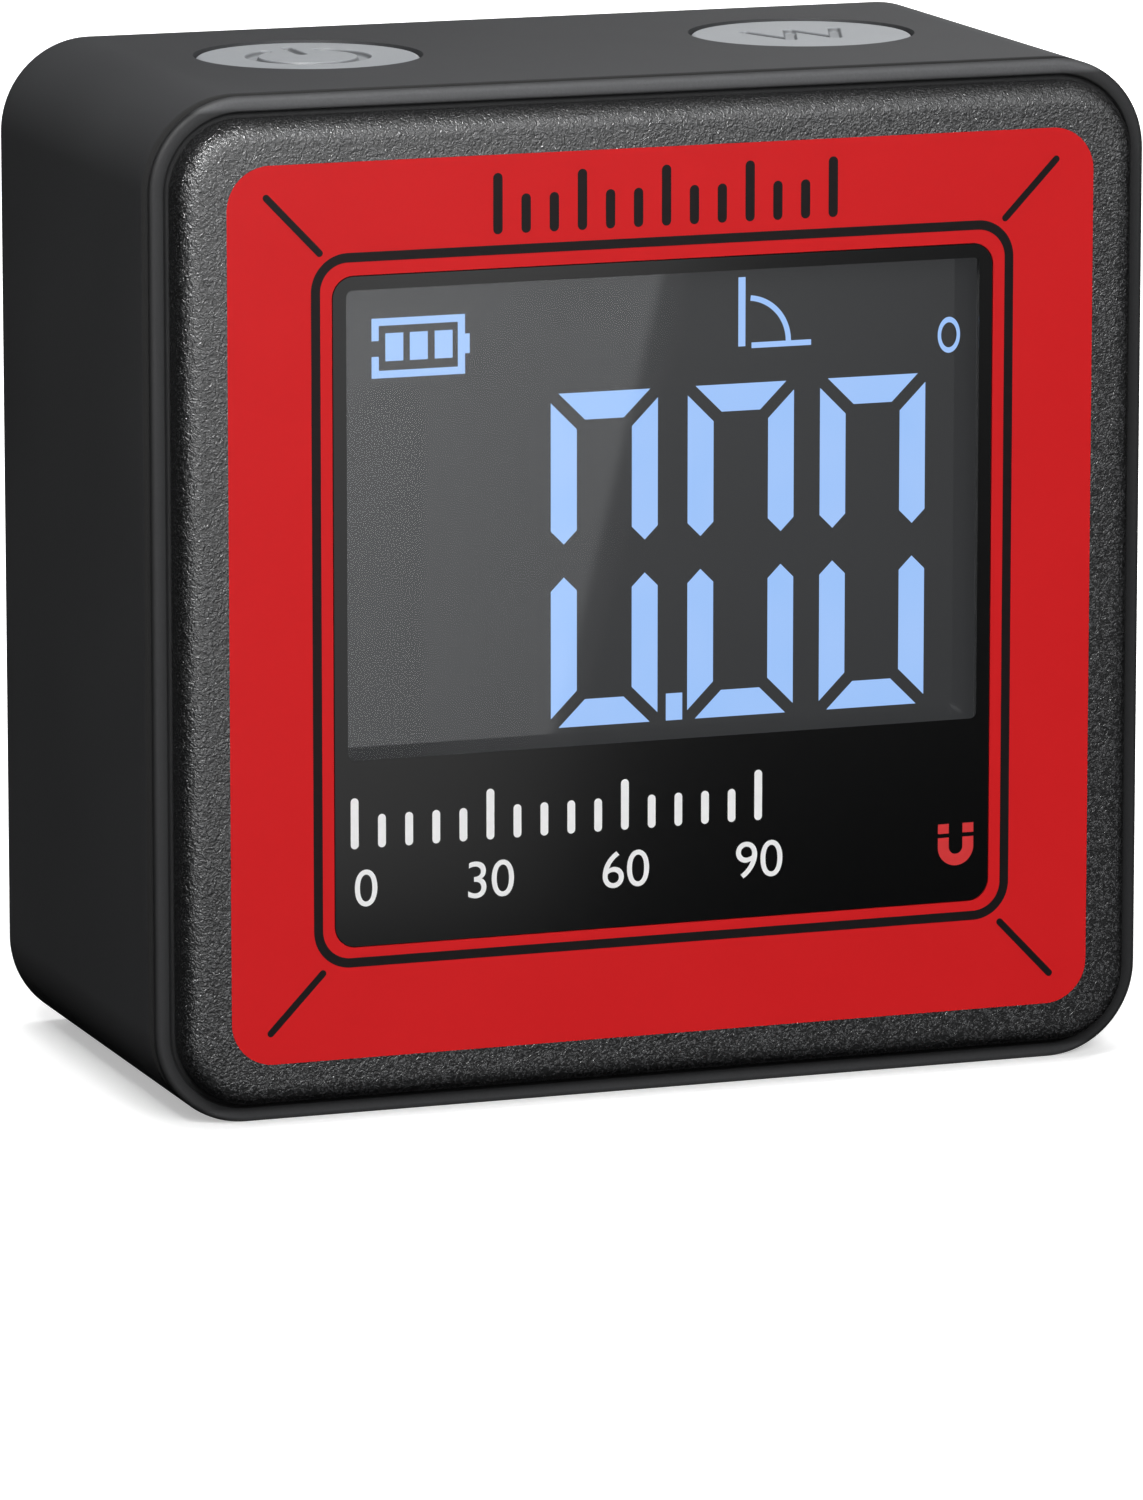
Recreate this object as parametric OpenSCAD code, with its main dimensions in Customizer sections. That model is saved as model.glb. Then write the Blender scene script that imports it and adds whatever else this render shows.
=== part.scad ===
// Digital angle gauge: a square instrument block with a backlit display on its
// front, two round keys on top, magnets in its base and a charging socket.
// Millimetres. X to the right, Y from front to back, Z up, origin under the
// middle of the base. Depths below are measured back from the front plane.

/* [Body] */
// Width over the side faces
body_w = 53.5; // [52:0.5:64]
// Height over the base and the top
body_h = 52.3; // [51:0.5:64]
// Depth from the front plane to the back face
body_d = 27.8; // [26.5:0.1:36]
// Radius of the four long edges
corner_r = 4.8; // [4:0.1:7]
// Thickness of the case's side walls
wall = 2.0; // [1.6:0.1:2.4]
// Thickness of the back wall
back_wall = 2.0; // [1.6:0.1:3]
// Radius of the edge round the back face
back_edge_r = 0.5; // [0.2:0.1:1]

/* [Bezel] */
// Depth of the shoulder below the front plane
shoulder_depth = 1.65; // [1.4:0.05:1.8]
// Width of the shoulder round the raised front
shoulder_w = 1.1; // [0.8:0.05:1.4]
// Radius of the rolled edge of the raised front
roll_r = 1.1; // [0.6:0.05:1.2]
// Width of the groove round the foot of the raised front
groove_w = 0.32; // [0.2:0.02:0.4]
// Depth of that groove below the shoulder
groove_d = 0.35; // [0.2:0.05:0.4]
// Radius of the bead round the outside
bead_r = 0.3; // [0.2:0.05:0.5]
// Width of the shadow groove between bezel and case
seam_w = 0.45; // [0.2:0.05:0.6]
// Depth of the shadow groove
seam_d = 0.4; // [0.2:0.05:0.6]
// Length of the locating lip inside the case
lip_l = 2.0; // [1:0.1:2.4]
// Thickness of the locating lip
lip_t = 1.0; // [0.8:0.1:1.2]

/* [Front label and window] */
// Distance from the side face to the label's edge
label_margin_x = 3.54; // [3.3:0.01:4.2]
// Distance from the base or the top to the label's edge
label_margin_z = 3.33; // [3.3:0.01:4.2]
// Corner radius of the label
label_r = 2.2; // [1:0.1:3]
// Thickness of the label
label_t = 0.4; // [0.2:0.05:0.5]
// Distance from the label's edge to the display window at the sides
window_margin_x = 5.48; // [5:0.01:6]
// Distance from the label's edge to the display window above and below
window_margin_z = 5.73; // [5:0.01:6]
// Corner radius of the display window
window_r = 1.1; // [0.6:0.1:1.6]
// Thickness of the display window
window_t = 0.9; // [0.7:0.05:1]
// Thickness of the adhesive behind the window
tape_t = 0.1; // [0.05:0.05:0.15]
// Width of the black print beside and above the clear part of the window
view_margin = 0.7; // [0.6:0.05:1]
// Height of the black print below the clear part of the window
view_strip = 9.55; // [8:0.05:12]
// How far the opening behind the window stands back from the clear part
view_gap = 0.25; // [0.1:0.05:0.3]

/* [Display] */
// Thickness of each of the display's two glasses
glass_t = 1.1; // [0.7:0.1:1.2]
// How far the front glass reaches past the clear part at the sides and top
glass_margin = 1.4; // [1:0.1:1.6]
// Height of the contact ledge at the foot of the front glass
ledge_h = 2.6; // [2.4:0.1:3]
// How deep the glass sits in the back of the bezel
seat_depth = 0.7; // [0.4:0.1:0.8]
// Wall of the frame round the display
frame_wall = 0.8; // [0.6:0.1:0.9]
// Thickness of the backlight
backlight_t = 2.5; // [2:0.1:3]
// How far the backlight stands in from the glass
backlight_inset = 0.2; // [0.1:0.1:0.6]
// Height of the contact strip
strip_h = 2.0; // [1.6:0.1:2]
// How far the contact strip stops short of the glass at each end
strip_inset = 1.0; // [0.5:0.1:3]

/* [Keys] */
// Diameter of each key cap
key_d = 11.6; // [10:0.1:12]
// Distance of each key's axis from the side face
key_inset = 13.2; // [12.6:0.05:14]
// Depth of the keys' axes behind the front plane
key_depth = 16.4; // [15.8:0.1:16.8]
// Gap round each key cap
key_gap = 0.12; // [0.1:0.02:0.3]
// How far the caps lie below the top face
key_recess = 0.1; // [0:0.05:0.3]
// Radius of the rim of each cap
key_rim_r = 0.4; // [0.2:0.05:0.6]
// How far the retaining flange reaches past the cap
flange_w = 0.8; // [0.6:0.1:1]
// Thickness of the retaining flange
flange_t = 1.0; // [0.8:0.1:1.2]
// Gap between the flange and the wall above it
flange_gap = 0.2; // [0.1:0.05:0.3]
// Diameter of the plunger below each cap
plunger_d = 3.6; // [3:0.1:4]
// Length of the plunger below the flange
plunger_l = 1.8; // [1.4:0.1:3]
// Travel of each key
key_travel = 0.4; // [0.2:0.05:0.5]
// Wall of the guide ring under the top face
guide_wall = 1.0; // [0.8:0.1:1.2]
// Width of the lug that keeps each key from turning
lug_w = 1.6; // [1.2:0.1:2]
// How far the lug reaches past the flange
lug_reach = 0.6; // [0.4:0.1:0.7]

/* [Switches and their board] */
// Width of each switch body
switch_w = 6.0; // [5:0.1:6.5]
// Height of each switch body
switch_h = 3.4; // [3:0.1:3.6]
// Diameter of each switch stem
stem_d = 3.4; // [2.8:0.1:3.8]
// How far each stem stands above its switch
stem_rise = 1.6; // [1.2:0.1:2]
// How far each stem reaches into its switch
stem_inside = 0.6; // [0.4:0.1:1]
// How far the key board reaches past each key's axis
board_reach = 4.45; // [4:0.05:5]
// Depth of the key board
board_l = 9.6; // [8:0.1:10]
// Thickness of the key board
board_t = 1.2; // [0.8:0.1:1.6]
// Distance of the hanging posts from the middle
hanger_x = 3.0; // [2.5:0.1:3.2]
// Diameter of the hanging posts
hanger_d = 3.6; // [3.2:0.1:4]
// Thickness of the two ribs under the key board
rib_t = 1.2; // [0.8:0.1:1.6]
// Height of the ribs under the key board
rib_h = 2.0; // [1.5:0.1:3]
// How far the ribs reach under the key board
rib_reach = 2.0; // [1:0.1:3]

/* [Main board] */
// Thickness of the main board
pcb_t = 1.2; // [1:0.1:1.6]
// Gap between the main board and the lip
pcb_gap = 0.4; // [0.2:0.1:0.5]
// How far the main board's foot stays above the lip
pcb_foot_gap = 1.5; // [1.2:0.1:2]
// Diameter of the bosses that carry the main board
boss_d = 3.0; // [2.8:0.1:3]
// Distance of the lower bosses from the middle
low_boss_x = 14; // [10:0.5:16]
// Distance of the upper bosses from the middle
high_boss_x = 9; // [6:0.5:12]
// Height of the lower bosses above the board's foot
low_boss_rise = 4.4; // [3:0.1:5]
// Distance of the upper bosses below the board's head
high_boss_drop = 1.6; // [1.5:0.1:1.8]
// Width of the processor
mcu_w = 7.0; // [5:0.5:9]
// Thickness of the processor
mcu_t = 1.2; // [0.8:0.1:1.6]
// Height of the tilt sensor above the board's foot
sensor_rise = 10; // [8:0.5:12]
// Width of the tilt sensor
sensor_w = 3.0; // [2:0.5:4]
// Thickness of the tilt sensor
sensor_t = 1.0; // [0.6:0.1:1.2]
// Width of the charging chip
charger_w = 3.0; // [2:0.5:4]
// Length of the charging chip
charger_l = 5.0; // [4:0.5:6]
// Thickness of the charging chip
charger_t = 1.4; // [1:0.1:1.8]

/* [Charging socket] */
// Width of the socket's metal shell
port_w = 8.94; // [8.9:0.01:9]
// Thickness of the socket's metal shell
port_h = 3.26; // [3.2:0.01:3.3]
// Length of the socket's metal shell
port_l = 7.3; // [6.5:0.1:8]
// Wall of the socket's metal shell
port_wall = 0.3; // [0.2:0.05:0.35]
// Height of the socket below the body's middle
port_drop = 2.2; // [0:0.1:6]
// Gap between the shell's mouth and the case wall
port_inset = 0.15; // [0.1:0.05:0.5]
// Width of the contact tongue
tongue_w = 6.69; // [6:0.01:6.8]
// Thickness of the contact tongue
tongue_t = 0.7; // [0.6:0.05:0.8]
// Length of the contact tongue
tongue_l = 4.45; // [4:0.05:5]
// Thickness of the block that holds the tongue
tongue_base = 1.6; // [1:0.1:2]
// Gap round the socket's mouth in the wall
port_gap = 0.2; // [0.1:0.05:0.3]
// How far the plug's recess reaches past the mouth
port_recess_margin = 1.5; // [1:0.1:2]
// Depth of the plug's recess in the wall
port_recess_d = 1.0; // [0.6:0.1:1.2]

/* [Battery] */
// Width of the battery
battery_w = 28; // [20:0.5:30]
// Room between the battery and the key board above it
battery_headroom = 4.1; // [4:0.1:8]
// Thickness of the battery
battery_t = 6.0; // [4:0.1:7]
// Rounding of the battery's sides
battery_r = 1.5; // [0.5:0.1:1.9]
// Height of the battery's foot above the base
battery_z = 7; // [6:0.5:8]
// Thickness of the adhesive pad behind the battery
pad_t = 0.5; // [0.3:0.1:1]
// Width of the adhesive pad
pad_w = 20; // [12:0.5:24]
// How far the adhesive pad stops short of the battery at each end
pad_inset = 5; // [3:0.5:8]
// Diameter of each battery lead
lead_d = 1.2; // [0.8:0.1:1.4]
// Distance between the two battery leads
lead_pitch = 2.0; // [1.6:0.1:2.5]
// Distance of the leads' middle from the middle of the part
lead_x = 7; // [5:0.1:9]
// Bend radius of the leads
lead_r = 1.5; // [1.2:0.1:1.6]
// How far the leads rise above the battery
lead_rise = 2.4; // [2.2:0.1:2.6]
// Width of the battery connector
plug_w = 6.0; // [5.6:0.1:8]
// Height of the battery connector
plug_h = 5.0; // [4:0.1:6]
// Thickness of the battery connector
plug_t = 4.0; // [3:0.1:5]
// How far the battery connector lies below the top of the battery
plug_drop = 2.5; // [1:0.1:4]

/* [Ribbon] */
// Width of the ribbon between the boards
ribbon_w = 6.0; // [4:0.5:8]
// Thickness of the ribbon
ribbon_t = 0.3; // [0.2:0.05:0.4]
// Bend radius on the outside of the ribbon
ribbon_r = 1.6; // [1:0.1:2]
// Length of the ribbon along each board
ribbon_hold = 2.0; // [1.5:0.1:4]
// Distance of the ribbon's middle from the middle of the part
ribbon_x = 8.5; // [7:0.5:9]

/* [Magnets] */
// Diameter of each magnet
magnet_d = 8.0; // [6:0.1:8.2]
// Thickness of each magnet
magnet_t = 2.5; // [1.5:0.1:3]
// How far the magnets lie above the base plane
magnet_recess = 0.1; // [0.05:0.05:0.2]
// Gap round each magnet
magnet_gap = 0.05; // [0.02:0.01:0.1]
// Wall of the cups that hold the magnets
cup_wall = 1.0; // [0.8:0.1:1.2]
// Distance of the magnets from the middle
magnet_x = 16; // [12:0.5:17]
// Distance between the front and the rear magnets
magnet_pitch = 10.4; // [10:0.1:11]
// Chamfer round each magnet's face
magnet_chamfer = 0.25; // [0.1:0.05:0.4]

/* [Screws] */
// Diameter of the case screws
screw_d = 2.0; // [1.8:0.1:2.2]
// Length of the case screws below the head
screw_l = 16; // [14:0.5:18]
// Diameter of the case screws' heads
head_d = 3.8; // [3.4:0.1:4]
// Height of the case screws' heads
head_h = 1.4; // [1:0.1:1.6]
// Gap round the case screws' heads
head_gap = 0.3; // [0.2:0.05:0.4]
// How far the case screws' heads lie below the back face
head_sink = 0.6; // [0.3:0.1:1]
// Diameter of the screw posts
post_d = 4.6; // [4.4:0.1:4.8]
// Distance of the screw posts from the side faces
post_inset_x = 4.55; // [4.5:0.05:4.7]
// Distance of the screw posts from the base and the top
post_inset_z = 6.7; // [6.4:0.1:7]
// Depth at which the bezel's posts meet the case's posts
post_meet = 14; // [12:0.5:16]
// Thickness of the webs between the case's posts and its side walls
web_t = 1.6; // [1:0.1:2.4]
// Diameter of the small screws that hold the boards
small_screw_d = 1.4; // [1.2:0.1:1.5]
// Diameter of the small screws' heads
small_head_d = 2.6; // [2.2:0.1:2.8]
// Height of the small screws' heads
small_head_h = 0.9; // [0.7:0.1:1]
// Length of the small screws below the head
small_screw_l = 4.2; // [3.5:0.1:4.5]
// Gap round every screw in its hole
screw_gap = 0.05; // [0.02:0.01:0.1]
// Gap beyond the end of every screw in its hole
screw_end_gap = 0.5; // [0.3:0.1:1]
// Width of the cross slots in the screw heads
slot_w = 0.5; // [0.3:0.05:0.6]

/* [Fits] */
// Gap round pieces that drop into a pocket
fit_gap = 0.05; // [0.02:0.01:0.1]
// Gap round the locating lip
lip_gap = 0.1; // [0.05:0.05:0.2]
// Gap round the display in its seat and frame
glass_gap = 0.15; // [0.1:0.05:0.2]
// Gap round moving pieces and loose passages
run_gap = 0.15; // [0.1:0.05:0.25]

/* [Hidden] */
$fn = 64;
over = 1;

bezel_back = shoulder_depth + bead_r + seam_w;
lip_end = bezel_back + lip_l;
cavity_back = body_d - back_wall;
mid_z = body_h / 2;

label_w = body_w - 2 * label_margin_x;
label_h = body_h - 2 * label_margin_z;

window_w = label_w - 2 * window_margin_x;
window_h = label_h - 2 * window_margin_z;
view_w = window_w - 2 * view_margin;
view_h = window_h - view_margin - view_strip;
view_z = mid_z + window_h / 2 - view_margin - view_h / 2;
opening_w = view_w + 2 * view_gap;
opening_h = view_h + 2 * view_gap;

// The display stack, from the seat in the bezel back to the main board
glass_front = bezel_back - seat_depth;
glass_split = glass_front + glass_t;
glass_back = glass_split + glass_t;
pcb_front = glass_back + backlight_t;
pcb_back = pcb_front + pcb_t;
glass_w = view_w + 2 * glass_margin;
glass_top = view_z + view_h / 2 + glass_margin;
glass_foot = view_z - view_h / 2 - ledge_h;
glass_h = glass_top - glass_foot;
glass_z = (glass_top + glass_foot) / 2;
rear_glass_h = glass_h - ledge_h;
rear_glass_z = glass_top - rear_glass_h / 2;

// The inside of the lip, where the main board lies
lip_in = wall + lip_gap + lip_t;
pcb_w = body_w - 2 * (lip_in + pcb_gap);
pcb_foot = lip_in + pcb_foot_gap;
pcb_head = body_h - lip_in - pcb_gap;
pcb_bosses = [
    for (side = [-1, 1]) [side * low_boss_x, pcb_foot + low_boss_rise],
    for (side = [-1, 1]) [side * high_boss_x, pcb_head - high_boss_drop]
];

// The keys, from their caps down to the key board
key_x = body_w / 2 - key_inset;
board_w = 2 * (key_x + board_reach);
cap_top = body_h - key_recess;
ceiling = body_h - wall;
flange_top = ceiling - flange_gap;
flange_foot = flange_top - flange_t;
flange_r = key_d / 2 + flange_w;
plunger_foot = flange_foot - plunger_l;
switch_top = plunger_foot - stem_rise;
switch_foot = switch_top - switch_h;
well_depth = stem_inside + key_travel + run_gap;
board_foot = switch_foot - board_t;
board_back = key_depth + board_l / 2;
guide_r = flange_r + run_gap;
guide_foot = flange_foot - key_travel;

// The charging socket lies on the back of the main board and faces +X
port_depth = pcb_back + port_h / 2;
port_z = mid_z - port_drop;
port_mouth = body_w / 2 - wall - port_inset;

battery_back = cavity_back - pad_t;
battery_front = battery_back - battery_t;
battery_top = board_foot - battery_headroom;
battery_h = battery_top - battery_z;
lead_depth = (battery_front + battery_back) / 2;
plug_top = battery_top - plug_drop;
plug_depth = pcb_back + plug_t / 2;

magnet_depth = (bezel_back + body_d) / 2;
magnet_places = [for (side = [-1, 1], row = [-1, 1])
    [side * magnet_x, magnet_depth + row * magnet_pitch / 2]];

post_places = [for (side = [-1, 1], end = [-1, 1])
    [side * (body_w / 2 - post_inset_x), mid_z + end * (mid_z - post_inset_z)]];
head_seat = body_d - head_sink - head_h;
screw_end = head_seat - screw_l;

// Stands a shape drawn in X and Z upright, at a depth behind the front plane.
// The shape's own height then grows towards the front.
module face_on(depth) {
    translate([0, depth - body_d / 2, 0]) rotate([90, 0, 0]) children();
}

// Extrudes an outline drawn in X and Z between two depths.
module slab(front, back) {
    face_on(back) linear_extrude(back - front) children();
}

// Places a shape by its X, its depth and its height.
module at(x, depth, z) {
    translate([x, depth - body_d / 2, z]) children();
}

module round_rect(w, h, r) {
    square([w - 2 * r, h], center = true);
    square([w, h - 2 * r], center = true);
    for (x = [-1, 1], y = [-1, 1])
        translate([x * (w / 2 - r), y * (h / 2 - r)]) circle(r);
}

// A slot with round ends, its length along Y.
module stadium(w, l) {
    square([w, l - w], center = true);
    for (y = [-1, 1]) translate([0, y * (l - w) / 2]) circle(w / 2);
}

// Carries an edge profile round the body's outline. The profile's X runs
// outwards from the corner's own centre and its Y towards the front.
module round_the_body() {
    half = [body_w / 2 - corner_r, body_h / 2 - corner_r];
    translate([0, mid_z, 0]) for (turn = [0:3]) {
        across = turn % 2 == 0 ? half : [half[1], half[0]];
        rotate(90 * turn) {
            translate([across[0], 0, 0]) rotate([90, 0, 0])
                linear_extrude(2 * across[1], center = true) children();
            translate([across[0], across[1], 0]) rotate_extrude(angle = 90) children();
        }
    }
}

// Fills the middle that round_the_body leaves open, from a depth back.
module body_core(front, back) {
    slab(front, back) translate([0, mid_z])
        square([body_w - 2 * corner_r, body_h - 2 * corner_r], center = true);
}

// A screw that points up, its head's seat at the origin, with a cross slot.
module screw(d, l, head, head_height) {
    translate([0, 0, -head_height]) difference() {
        union() {
            cylinder(d = head, h = head_height);
            cylinder(d = d, h = head_height + l);
        }
        for (turn = [0, 90]) rotate(turn)
            translate([-slot_w / 2, -head / 4, -over])
                cube([slot_w, head / 2, head_height / 2 + over]);
    }
}

// The edge of the bezel: rolled front, groove, shoulder and outer bead.
module bezel_edge() {
    flank = corner_r - shoulder_w;
    groove_floor = -shoulder_depth - groove_d + groove_w / 2;
    difference() {
        union() {
            translate([0, -shoulder_depth]) square([flank - roll_r, shoulder_depth]);
            translate([0, -shoulder_depth]) square([flank, shoulder_depth - roll_r]);
            translate([flank - roll_r, -roll_r]) circle(roll_r);
            translate([0, -shoulder_depth - bead_r]) square([corner_r - bead_r, bead_r]);
            translate([corner_r - bead_r, -shoulder_depth - bead_r]) intersection() {
                circle(bead_r);
                square(bead_r);
            }
            translate([0, -bezel_back]) square([corner_r - seam_d, bezel_back - shoulder_depth]);
        }
        translate([flank, groove_floor]) square([groove_w, -groove_floor]);
        translate([flank + groove_w / 2, groove_floor]) circle(d = groove_w);
    }
}

// The edge of the case: its wall, closed by a rounded back edge.
module case_edge() {
    translate([0, -body_d + back_edge_r]) square([corner_r, body_d - back_edge_r - bezel_back]);
    translate([0, -body_d]) square([corner_r - back_edge_r, back_edge_r + over]);
    translate([corner_r - back_edge_r, -body_d + back_edge_r]) circle(back_edge_r);
}

module lcd_outline(gap) {
    translate([0, glass_z]) square([glass_w + 2 * gap, glass_h + 2 * gap], center = true);
}

module front_bezel() color("#4a4b4d") difference() {
    union() {
        face_on(0) round_the_body() bezel_edge();
        body_core(0, bezel_back);
        slab(bezel_back, lip_end) translate([0, mid_z]) difference() {
            round_rect(body_w - 2 * (wall + lip_gap), body_h - 2 * (wall + lip_gap),
                corner_r - wall - lip_gap);
            round_rect(body_w - 2 * lip_in, body_h - 2 * lip_in, corner_r - lip_in);
        }
        for (place = post_places)
            slab(bezel_back, post_meet) translate(place) circle(d = post_d);
        for (place = pcb_bosses)
            slab(bezel_back, pcb_front) translate(place) circle(d = boss_d);
    }
    slab(-over, label_t) translate([0, mid_z])
        round_rect(label_w + 2 * fit_gap, label_h + 2 * fit_gap, label_r + fit_gap);
    slab(-over, window_t + tape_t) translate([0, mid_z])
        round_rect(window_w + 2 * fit_gap, window_h + 2 * fit_gap, window_r + fit_gap);
    slab(-over, bezel_back + over) translate([0, view_z])
        square([opening_w, opening_h], center = true);
    slab(glass_front, bezel_back + over) lcd_outline(glass_gap);
    for (place = post_places)
        slab(screw_end - screw_end_gap, post_meet + over) translate(place)
            circle(d = screw_d + 2 * screw_gap);
    for (place = pcb_bosses)
        slab(pcb_back - small_screw_l - screw_end_gap, pcb_front + over) translate(place)
            circle(d = small_screw_d + 2 * screw_gap);
}

module rear_case() color("#3b3c3e") difference() {
    union() {
        difference() {
            union() {
                face_on(0) round_the_body() case_edge();
                body_core(bezel_back, body_d);
            }
            slab(bezel_back - over, cavity_back) translate([0, mid_z])
                round_rect(body_w - 2 * wall, body_h - 2 * wall, corner_r - wall);
        }
        for (place = post_places)
            slab(post_meet, body_d - back_edge_r) {
                translate(place) circle(d = post_d);
                translate([sign(place[0]) * (body_w - post_inset_x) / 2, place[1]])
                    square([post_inset_x - wall, web_t], center = true);
            }
        for (place = magnet_places)
            at(place[0], place[1], 0) translate([0, 0, wall / 2])
                cylinder(d = magnet_d + 2 * (magnet_gap + cup_wall),
                    h = magnet_recess + magnet_t + cup_wall - wall / 2);
        for (side = [-1, 1]) {
            at(side * key_x, key_depth, guide_foot)
                cylinder(r = guide_r + guide_wall, h = ceiling - guide_foot + wall / 2);
            at(side * hanger_x, key_depth, switch_foot)
                cylinder(d = hanger_d, h = ceiling - switch_foot + wall / 2);
            slab(board_back - rib_reach, cavity_back + back_wall / 2)
                translate([side * key_x, board_foot - rib_h / 2])
                    square([rib_t, rib_h], center = true);
        }
    }
    for (side = [-1, 1]) {
        at(side * key_x, key_depth, ceiling - over)
            cylinder(r = key_d / 2 + key_gap, h = wall + 2 * over);
        at(side * key_x, key_depth, guide_foot - over) linear_extrude(ceiling - guide_foot + over) {
            circle(guide_r);
            lug_outline(run_gap);
        }
        at(side * hanger_x, key_depth, switch_foot - over)
            cylinder(d = small_screw_d + 2 * screw_gap,
                h = small_screw_l - board_t + screw_end_gap + over);
    }
    for (place = magnet_places)
        at(place[0], place[1], -over)
            cylinder(d = magnet_d + 2 * magnet_gap, h = over + magnet_recess + magnet_t);
    for (place = post_places) {
        slab(post_meet - over, body_d + over) translate(place)
            circle(d = screw_d + 2 * screw_gap);
        slab(head_seat, body_d + over) translate(place) circle(d = head_d + 2 * head_gap);
    }
    at(port_mouth, port_depth, port_z) rotate([0, 90, 0]) {
        rotate(90) linear_extrude(wall + 2 * over)
            stadium(port_h + 2 * port_gap, port_w + 2 * port_gap);
        translate([0, 0, port_inset + wall - port_recess_d]) rotate(90)
            linear_extrude(port_recess_d + over)
                stadium(port_h + 2 * port_recess_margin, port_w + 2 * port_recess_margin);
    }
}

module front_label() color("#c92b2d") slab(0, label_t) translate([0, mid_z]) difference() {
    round_rect(label_w, label_h, label_r);
    round_rect(window_w + 2 * fit_gap, window_h + 2 * fit_gap, window_r + fit_gap);
}

module display_window() color("#1d1e20") slab(0, window_t) translate([0, mid_z])
    round_rect(window_w, window_h, window_r);

module window_tape() color("#2a2a2c") slab(window_t, window_t + tape_t) difference() {
    translate([0, mid_z]) round_rect(window_w, window_h, window_r);
    translate([0, view_z]) square([opening_w, opening_h], center = true);
}

module lcd_panel() color("#3c3d3e") {
    slab(glass_front, glass_split) lcd_outline(0);
    slab(glass_split, glass_back) translate([0, rear_glass_z])
        square([glass_w, rear_glass_h], center = true);
}

module backlight() color("#e8e9ea") slab(glass_back, pcb_front) translate([0, rear_glass_z])
    square([glass_w - 2 * backlight_inset, rear_glass_h - 2 * backlight_inset], center = true);

module contact_strip() color("#8d8f91") slab(glass_split, pcb_front)
    translate([0, glass_foot + ledge_h / 2])
        square([glass_w - 2 * strip_inset, strip_h], center = true);

module display_frame() color("#dfe0e1") slab(bezel_back, pcb_front) difference() {
    lcd_outline(glass_gap + frame_wall);
    lcd_outline(glass_gap);
}

module main_board() color("#1f5c3a") slab(pcb_front, pcb_back) difference() {
    translate([0, (pcb_foot + pcb_head) / 2]) square([pcb_w, pcb_head - pcb_foot], center = true);
    for (place = post_places) translate(place) circle(d = post_d + 4 * run_gap);
    for (place = pcb_bosses) translate(place) circle(d = small_screw_d + 2 * screw_gap);
}

// The processor lies on the back of the main board, a little above its middle.
module processor() color("#232426") slab(pcb_back, pcb_back + mcu_t)
    translate([0, mid_z]) square(mcu_w, center = true);

module tilt_sensor() color("#2b2c2e") slab(pcb_back, pcb_back + sensor_t)
    translate([-mcu_w, pcb_foot + sensor_rise]) square(sensor_w, center = true);

module charging_chip() color("#2b2c2e") slab(pcb_back, pcb_back + charger_t)
    translate([mcu_w + charger_w / 2, port_z]) square([charger_w, charger_l], center = true);

module board_screws() color("#b9bcc0") for (place = pcb_bosses)
    face_on(pcb_back) translate(place)
        screw(small_screw_d, small_screw_l, small_head_d, small_head_h);

module charging_socket() color("#b9bcc0") at(port_mouth, port_depth, port_z) rotate([0, -90, 0])
    rotate(90) difference() {
        linear_extrude(port_l) stadium(port_h, port_w);
        translate([0, 0, -over]) linear_extrude(port_l - port_wall + over)
            stadium(port_h - 2 * port_wall, port_w - 2 * port_wall);
    }

module socket_tongue() color("#202123") at(port_mouth, port_depth, port_z) rotate([0, -90, 0])
    rotate(90) {
        translate([0, 0, port_l - port_wall - tongue_base]) linear_extrude(tongue_base)
            stadium(port_h - 2 * port_wall, port_w - 2 * port_wall);
        translate([0, 0, port_l - port_wall - tongue_base - tongue_l]) linear_extrude(tongue_l)
            square([tongue_t, tongue_w], center = true);
    }

module battery() color("#c3c6c9") translate([0, 0, battery_z]) linear_extrude(battery_h)
    translate([0, lead_depth - body_d / 2]) round_rect(battery_w, battery_t, battery_r);

module battery_pad() color("#e3e3df") slab(battery_back, cavity_back)
    translate([0, battery_z + battery_h / 2]) square([pad_w, battery_h - 2 * pad_inset], center = true);

// Each lead rises from the battery, runs forward and drops into the connector.
module battery_leads() color("#b3262a") for (side = [-1, 1]) {
    x = -lead_x + side * lead_pitch / 2;
    run_z = battery_top + lead_rise;
    bend_z = run_z - lead_r;
    at(x, lead_depth, battery_top) cylinder(d = lead_d, h = bend_z - battery_top);
    at(x, lead_depth - lead_r, bend_z) rotate([0, -90, 0])
        rotate_extrude(angle = 90) translate([lead_r, 0]) circle(d = lead_d);
    slab(plug_depth + lead_r, lead_depth - lead_r) translate([x, run_z]) circle(d = lead_d);
    at(x, plug_depth + lead_r, bend_z) rotate([0, -90, 0]) rotate(-90)
        rotate_extrude(angle = 90) translate([lead_r, 0]) circle(d = lead_d);
    at(x, plug_depth, plug_top) cylinder(d = lead_d, h = bend_z - plug_top);
}

module battery_connector() color("#e6e4dc") slab(pcb_back, pcb_back + plug_t)
    translate([-lead_x, plug_top - plug_h / 2]) square([plug_w, plug_h], center = true);

// The lug at the back of a key's flange, or with a gap its notch in the guide.
module lug_outline(gap) {
    reach = flange_r + lug_reach + gap;
    translate([-lug_w / 2 - gap, key_d / 2]) square([lug_w + 2 * gap, reach - key_d / 2]);
}

// A key: its cap with a rounded rim, the flange with its lug and the plunger.
module key(side) color("#a9acb0") at(side * key_x, key_depth, 0) {
    rotate_extrude() {
        translate([0, flange_foot]) square([key_d / 2, cap_top - key_rim_r - flange_foot]);
        translate([0, cap_top - key_rim_r]) square([key_d / 2 - key_rim_r, key_rim_r]);
        translate([key_d / 2 - key_rim_r, cap_top - key_rim_r]) circle(key_rim_r);
        translate([0, flange_foot]) square([flange_r, flange_t]);
        translate([0, plunger_foot]) square([plunger_d / 2, plunger_l]);
    }
    translate([0, 0, flange_foot]) linear_extrude(flange_t) lug_outline(0);
}

module power_key() key(-1);

module mode_key() key(1);

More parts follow.
